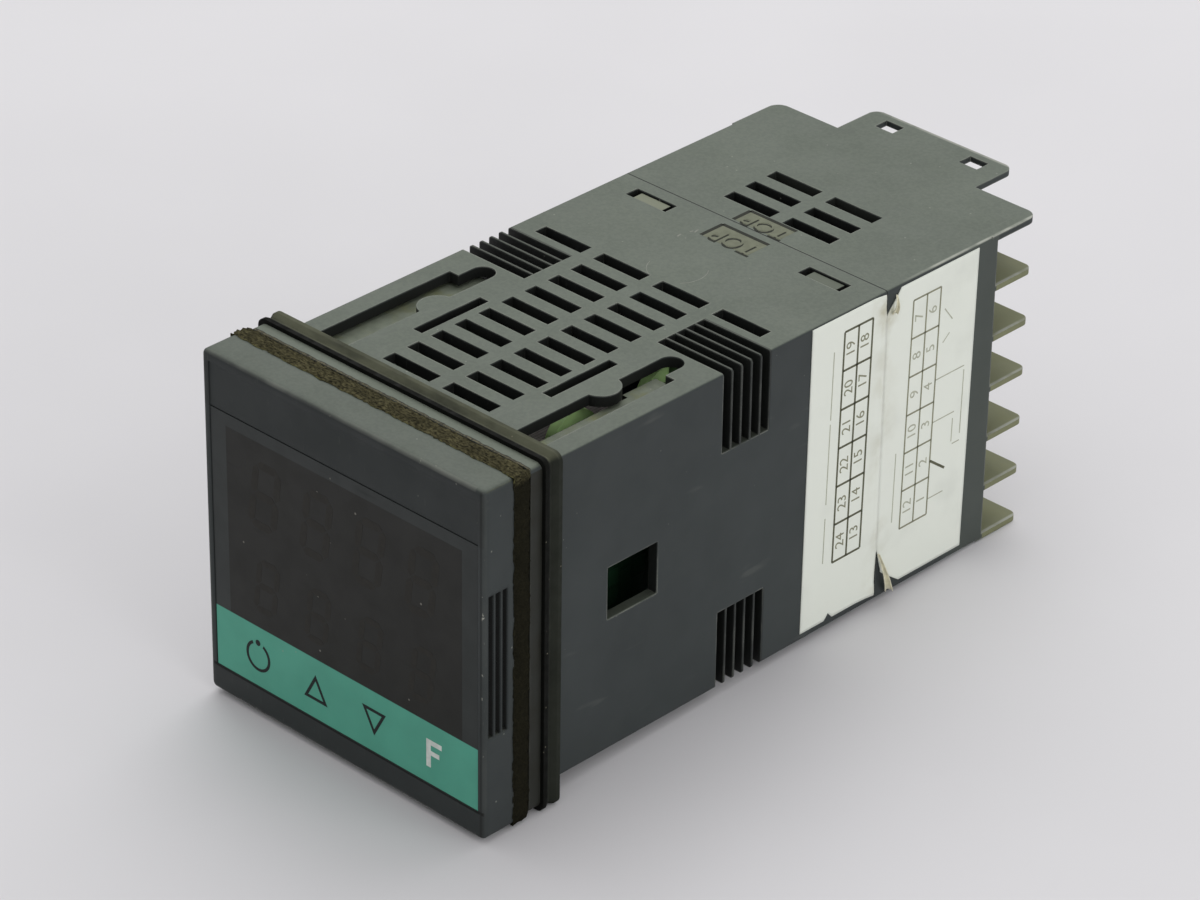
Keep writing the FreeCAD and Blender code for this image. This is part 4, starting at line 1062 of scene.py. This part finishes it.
def build_top_marks(dark, pale, worn):
    """Marks from their rear edge, depth and letter height; dark copies of the letters stand for shade."""
    boxes = Solids()
    shades = Solids()
    letters = Solids()
    for rear_y, depth, height in MARKS:
        rear_left = Vector((-MARK_HALF_WIDTH, rear_y, TOP_Z))
        rear_right = Vector((MARK_HALF_WIDTH, rear_y, TOP_Z))
        forward = Vector((0.0, -depth, 0.0))
        boxes.prism([rear_left + forward, rear_right + forward, rear_right, rear_left], UPWARD, MARK_INK)
        shades.strip(rear_left, rear_right, MARK_LINE, UPWARD, 2 * MARK_INK)
        shades.strip(rear_left + forward, rear_left, MARK_LINE, UPWARD, 2 * MARK_INK)
        place = Vector((MARK_SHIFT, rear_y - depth + MARK_FRONT_GAP + height / 2, TOP_Z))
        right = (-MARK_LETTER_WIDTH / height, 0, 0)
        shades.text("TOP", place + MARK_SHADE, right, FORWARD, height, 4 * MARK_INK)
        letters.text("TOP", place, right, FORWARD, height, 8 * MARK_INK)
    boxes.piece("top_mark_boxes", pale, "case")
    shades.piece("top_mark_shades", dark, "case")
    letters.piece("top_mark_letters", pale, "case")

    scrapes = Solids()
    for angles in RING_ARCS:
        scrapes.prism(arc_line(RING_CENTRE, RING_RADIUS, RING_LINE, angles, 25, REARWARD), UPWARD, MARK_INK)
    for first, last in SCUFFS:
        scrapes.strip((*first, TOP_Z), (*last, TOP_Z), SCUFF_LINE, UPWARD, MARK_INK)
    scrapes.piece("top_scrapes", worn, "case")


# Terminal screws: turned heads with a slot, on the places of the solid's own screws
SCREW_HEAD = 2.6
SCREW_HEIGHT = 1.5
SCREW_SLOT = 0.8
SCREW_SLOT_DEPTH = 0.8
SCREW_SEGMENTS = 40
SCREW_SHANK = 1.45
SCREW_LENGTH = 4.1
SCREW_TURN = 37


def screw_places():
    """The middle of each screw, found from the separate solids in its node."""
    shape = bmesh.new()
    shape.from_mesh(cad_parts["terminal_screws"].data)
    bmesh.ops.remove_doubles(shape, verts=shape.verts, dist=1e-6)
    left = set(shape.verts)
    places = []
    while left:
        group = {left.pop()}
        front = list(group)
        while front:
            vertex = front.pop()
            for edge in vertex.link_edges:
                other = edge.other_vert(vertex)
                if other in left:
                    left.discard(other)
                    group.add(other)
                    front.append(other)
        low = Vector([min(vertex.co[axis] for vertex in group) for axis in range(3)]) / MM
        high = Vector([max(vertex.co[axis] for vertex in group) for axis in range(3)]) / MM
        places.append(((low.x + high.x) / 2, high.y, (low.z + high.z) / 2))
    shape.free()
    return sorted(places)


def build_screws(material):
    """A turned cheese head with a rounded rim, slotted by a box, and a plain shank."""
    profile = [
        (0.0, 0.0), (1.6, -0.02), (2.15, -0.08), (2.45, -0.24), (SCREW_HEAD - 0.02, -0.55),
        (SCREW_HEAD - 0.02, -SCREW_HEIGHT + 0.08), (2.4, -SCREW_HEIGHT + 0.01),
        (SCREW_SHANK, -SCREW_HEIGHT + 0.01), (SCREW_SHANK, -SCREW_HEIGHT - SCREW_LENGTH),
        (0.0, -SCREW_HEIGHT - SCREW_LENGTH),
    ]
    shape = bmesh.new()
    rim = [shape.verts.new((radius * MM, depth * MM, 0)) for radius, depth in profile]
    path = [shape.edges.new((rim[index], rim[index + 1])) for index in range(len(rim) - 1)]
    bmesh.ops.spin(
        shape, geom=rim + path, axis=(0, 1, 0), cent=(0, 0, 0), steps=SCREW_SEGMENTS, angle=2 * math.pi,
    )
    bmesh.ops.remove_doubles(shape, verts=shape.verts, dist=1e-7)
    bmesh.ops.recalc_face_normals(shape, faces=shape.faces)
    turned = add_object("screw_blank", mesh_of(shape, "screw_blank"))
    shape = bmesh.new()
    bmesh.ops.create_cube(shape, size=1.0)
    size = Vector((3 * SCREW_HEAD, 2 * SCREW_SLOT_DEPTH, SCREW_SLOT)) * MM
    bmesh.ops.transform(shape, verts=shape.verts, matrix=Matrix.Diagonal((*size, 1.0)))
    cutter = add_object("screw_slot", mesh_of(shape, "screw_slot"))
    slotting = turned.modifiers.new("slot", "BOOLEAN")
    slotting.operation = "DIFFERENCE"
    slotting.object = cutter
    cut = shown_mesh(turned)
    bpy.data.objects.remove(turned)
    bpy.data.objects.remove(cutter)

    heads = bmesh.new()
    for index, (x, y, z) in enumerate(screw_places()):
        turn = Matrix.Rotation(math.radians(SCREW_TURN * index % 180), 4, "Y")
        copy = cut.copy()
        copy.transform(Matrix.Translation(Vector((x, y, z)) * MM) @ turn)
        heads.from_mesh(copy)
        bpy.data.meshes.remove(copy)
    data = mesh_of(heads, "slotted_screws")
    piece = finish_piece("slotted_screws", data, material, "case", True)
    for polygon in data.polygons:
        polygon.use_smooth = abs(polygon.normal.y) < 0.995
    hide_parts("terminal_screws")


def dress_solids(materials):
    """Give each solid that shows its material."""
    for node, material in materials.items():
        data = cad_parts[node].data
        data.materials.clear()
        data.materials.append(material)


FLOOR_REACH = 2500.0
FLOOR_GAP = 0.02


def build_stage():
    """The floor, tilted to touch the gasket and the rear edge that the part rests on."""
    rest_front = Vector((0.0, GASKET_HIGH.y, GASKET_LOW.z))
    rest_rear = Vector((0.0, FIN_END_Y, BLOCK_LOW.z))
    slope = (rest_rear.z - rest_front.z) / (rest_rear.y - rest_front.y)
    corners = []
    for x, y in ((-1, -1), (1, -1), (1, 1), (-1, 1)):
        far_y = y * FLOOR_REACH
        z = rest_front.z - FLOOR_GAP + slope * (far_y - rest_front.y)
        corners.append(Vector((x * FLOOR_REACH, far_y, z)) * MM)
    data = bpy.data.meshes.new("floor")
    data.from_pydata(corners, [], [[0, 1, 2, 3]])
    sh = Shader("floor_paper")
    sh.set(Base_Color=sh.mottled(FLOOR, 60, 0.985, 1.015), Roughness=0.75)
    data.materials.append(sh.material)
    floor = add_object("floor", data)


def build_light():
    scene = bpy.context.scene
    scene.view_settings.view_transform = "Standard"
    world = bpy.data.worlds.new("studio")
    world.use_nodes = True
    background = world.node_tree.nodes["Background"]
    background.inputs["Color"].default_value = (1.0, 1.0, 1.0, 1.0)
    background.inputs["Strength"].default_value = SKY_LEVEL
    scene.world = world
    for name, (towards, level, size) in LAMPS.items():
        lamp = bpy.data.lights.new(name, "AREA")
        lamp.size = size
        lamp.energy = level * math.pi ** 2 * LAMP_DISTANCE ** 2
        holder = add_object(name, lamp)
        direction = towards.normalized()
        holder.location = LAMP_AIM + direction * LAMP_DISTANCE
        holder.rotation_mode = "QUATERNION"
        holder.rotation_quaternion = direction.to_track_quat("Z", "Y")


def build_camera():
    data = bpy.data.cameras.new("camera")
    data.lens = FOCAL_LENGTH
    data.sensor_width = SENSOR_WIDTH
    data.clip_start = 0.01
    data.clip_end = 20.0
    camera = add_object("camera", data)
    camera.location = CAMERA_PLACE * MM
    camera.rotation_mode = "QUATERNION"
    level = (CAMERA_AIM - CAMERA_PLACE).to_track_quat("-Z", "Y")
    camera.rotation_quaternion = level @ Quaternion((0.0, 0.0, 1.0), CAMERA_ROLL)
    bpy.context.scene.camera = camera


def main():
    black_plastic = plain("black_plastic", BLACK, 0.48)
    steel = plain("plated_steel", STEEL, 0.34, 1.0, 0.10, 1.5)
    brass = plain("stamped_brass", BRASS, 0.32, 1.0, 0.12, 1.5)
    key_plastic = plain("key_plastic", KEY_GREY, 0.5)
    display = plain("display_resin", RESIN, 0.3)
    board = circuit_board("circuit_board")
    dressed = {
        "case_shell": case_plastic(),
        "rear_block": block_plastic(),
        "front_bezel": bezel_plastic(),
        "panel_gasket": rubber("gasket_rubber"),
        "front_film": film("printed_film", (WINDOW_X, WINDOW_Z), STRIP_TOP_Z),
        "terminal_posts": brass,
        "clamp_washers": steel,
        "upper_display": display,
        "lower_display": display,
        "display_board": board,
        "right_board": board,
        "left_board": board,
        "switch_bodies": black_plastic,
        "board_headers": black_plastic,
        "rear_sockets": black_plastic,
        "processor": black_plastic,
        "board_brace": black_plastic,
        "transformer_core": laminated_steel("core_sheets"),
        "transformer_winding": taped_winding("winding_tape"),
        "output_relays": plain("relay_plastic", RELAY, 0.36),
        "filter_capacitors": plain("can_sleeve", CAN_SLEEVE, 0.34),
        "disc_suppressors": plain("disc_enamel", DISC_GREEN_AND_LIGHT, 0.36),
    }
    for name in KEYS:
        dressed["key_" + name] = key_plastic
        dressed["stem_" + name] = key_plastic
    dress_solids(dressed)

    label_paper = paper("label_paper")
    build_legends(ink("legend_ink", LEGEND_DARK), ink("pale_ink", LEGEND_PALE))
    build_ghost_digits(ink("unlit_segments", GHOST))
    build_foam(foam("old_foam"))
    build_label(label_paper)
    build_paper_curls(plain("curled_paper", CURL, 0.6, 0.0, 0.15, 1.5))
    build_label_print(
        ink("label_ink", PRINT), ink("pale_label_ink", PALE_PRINT), ink("faded_label_ink", FADED_PRINT),
    )
    build_top_marks(
        ink("mark_shade", MARK_DARK), ink("mark_dust", MARK_PALE), ink("scraped_plastic", scaled(WORN_AND_HIGHLIGHT, 0.7)),
    )
    build_screws(steel)
    build_stage()
    build_light()
    build_camera()


main()
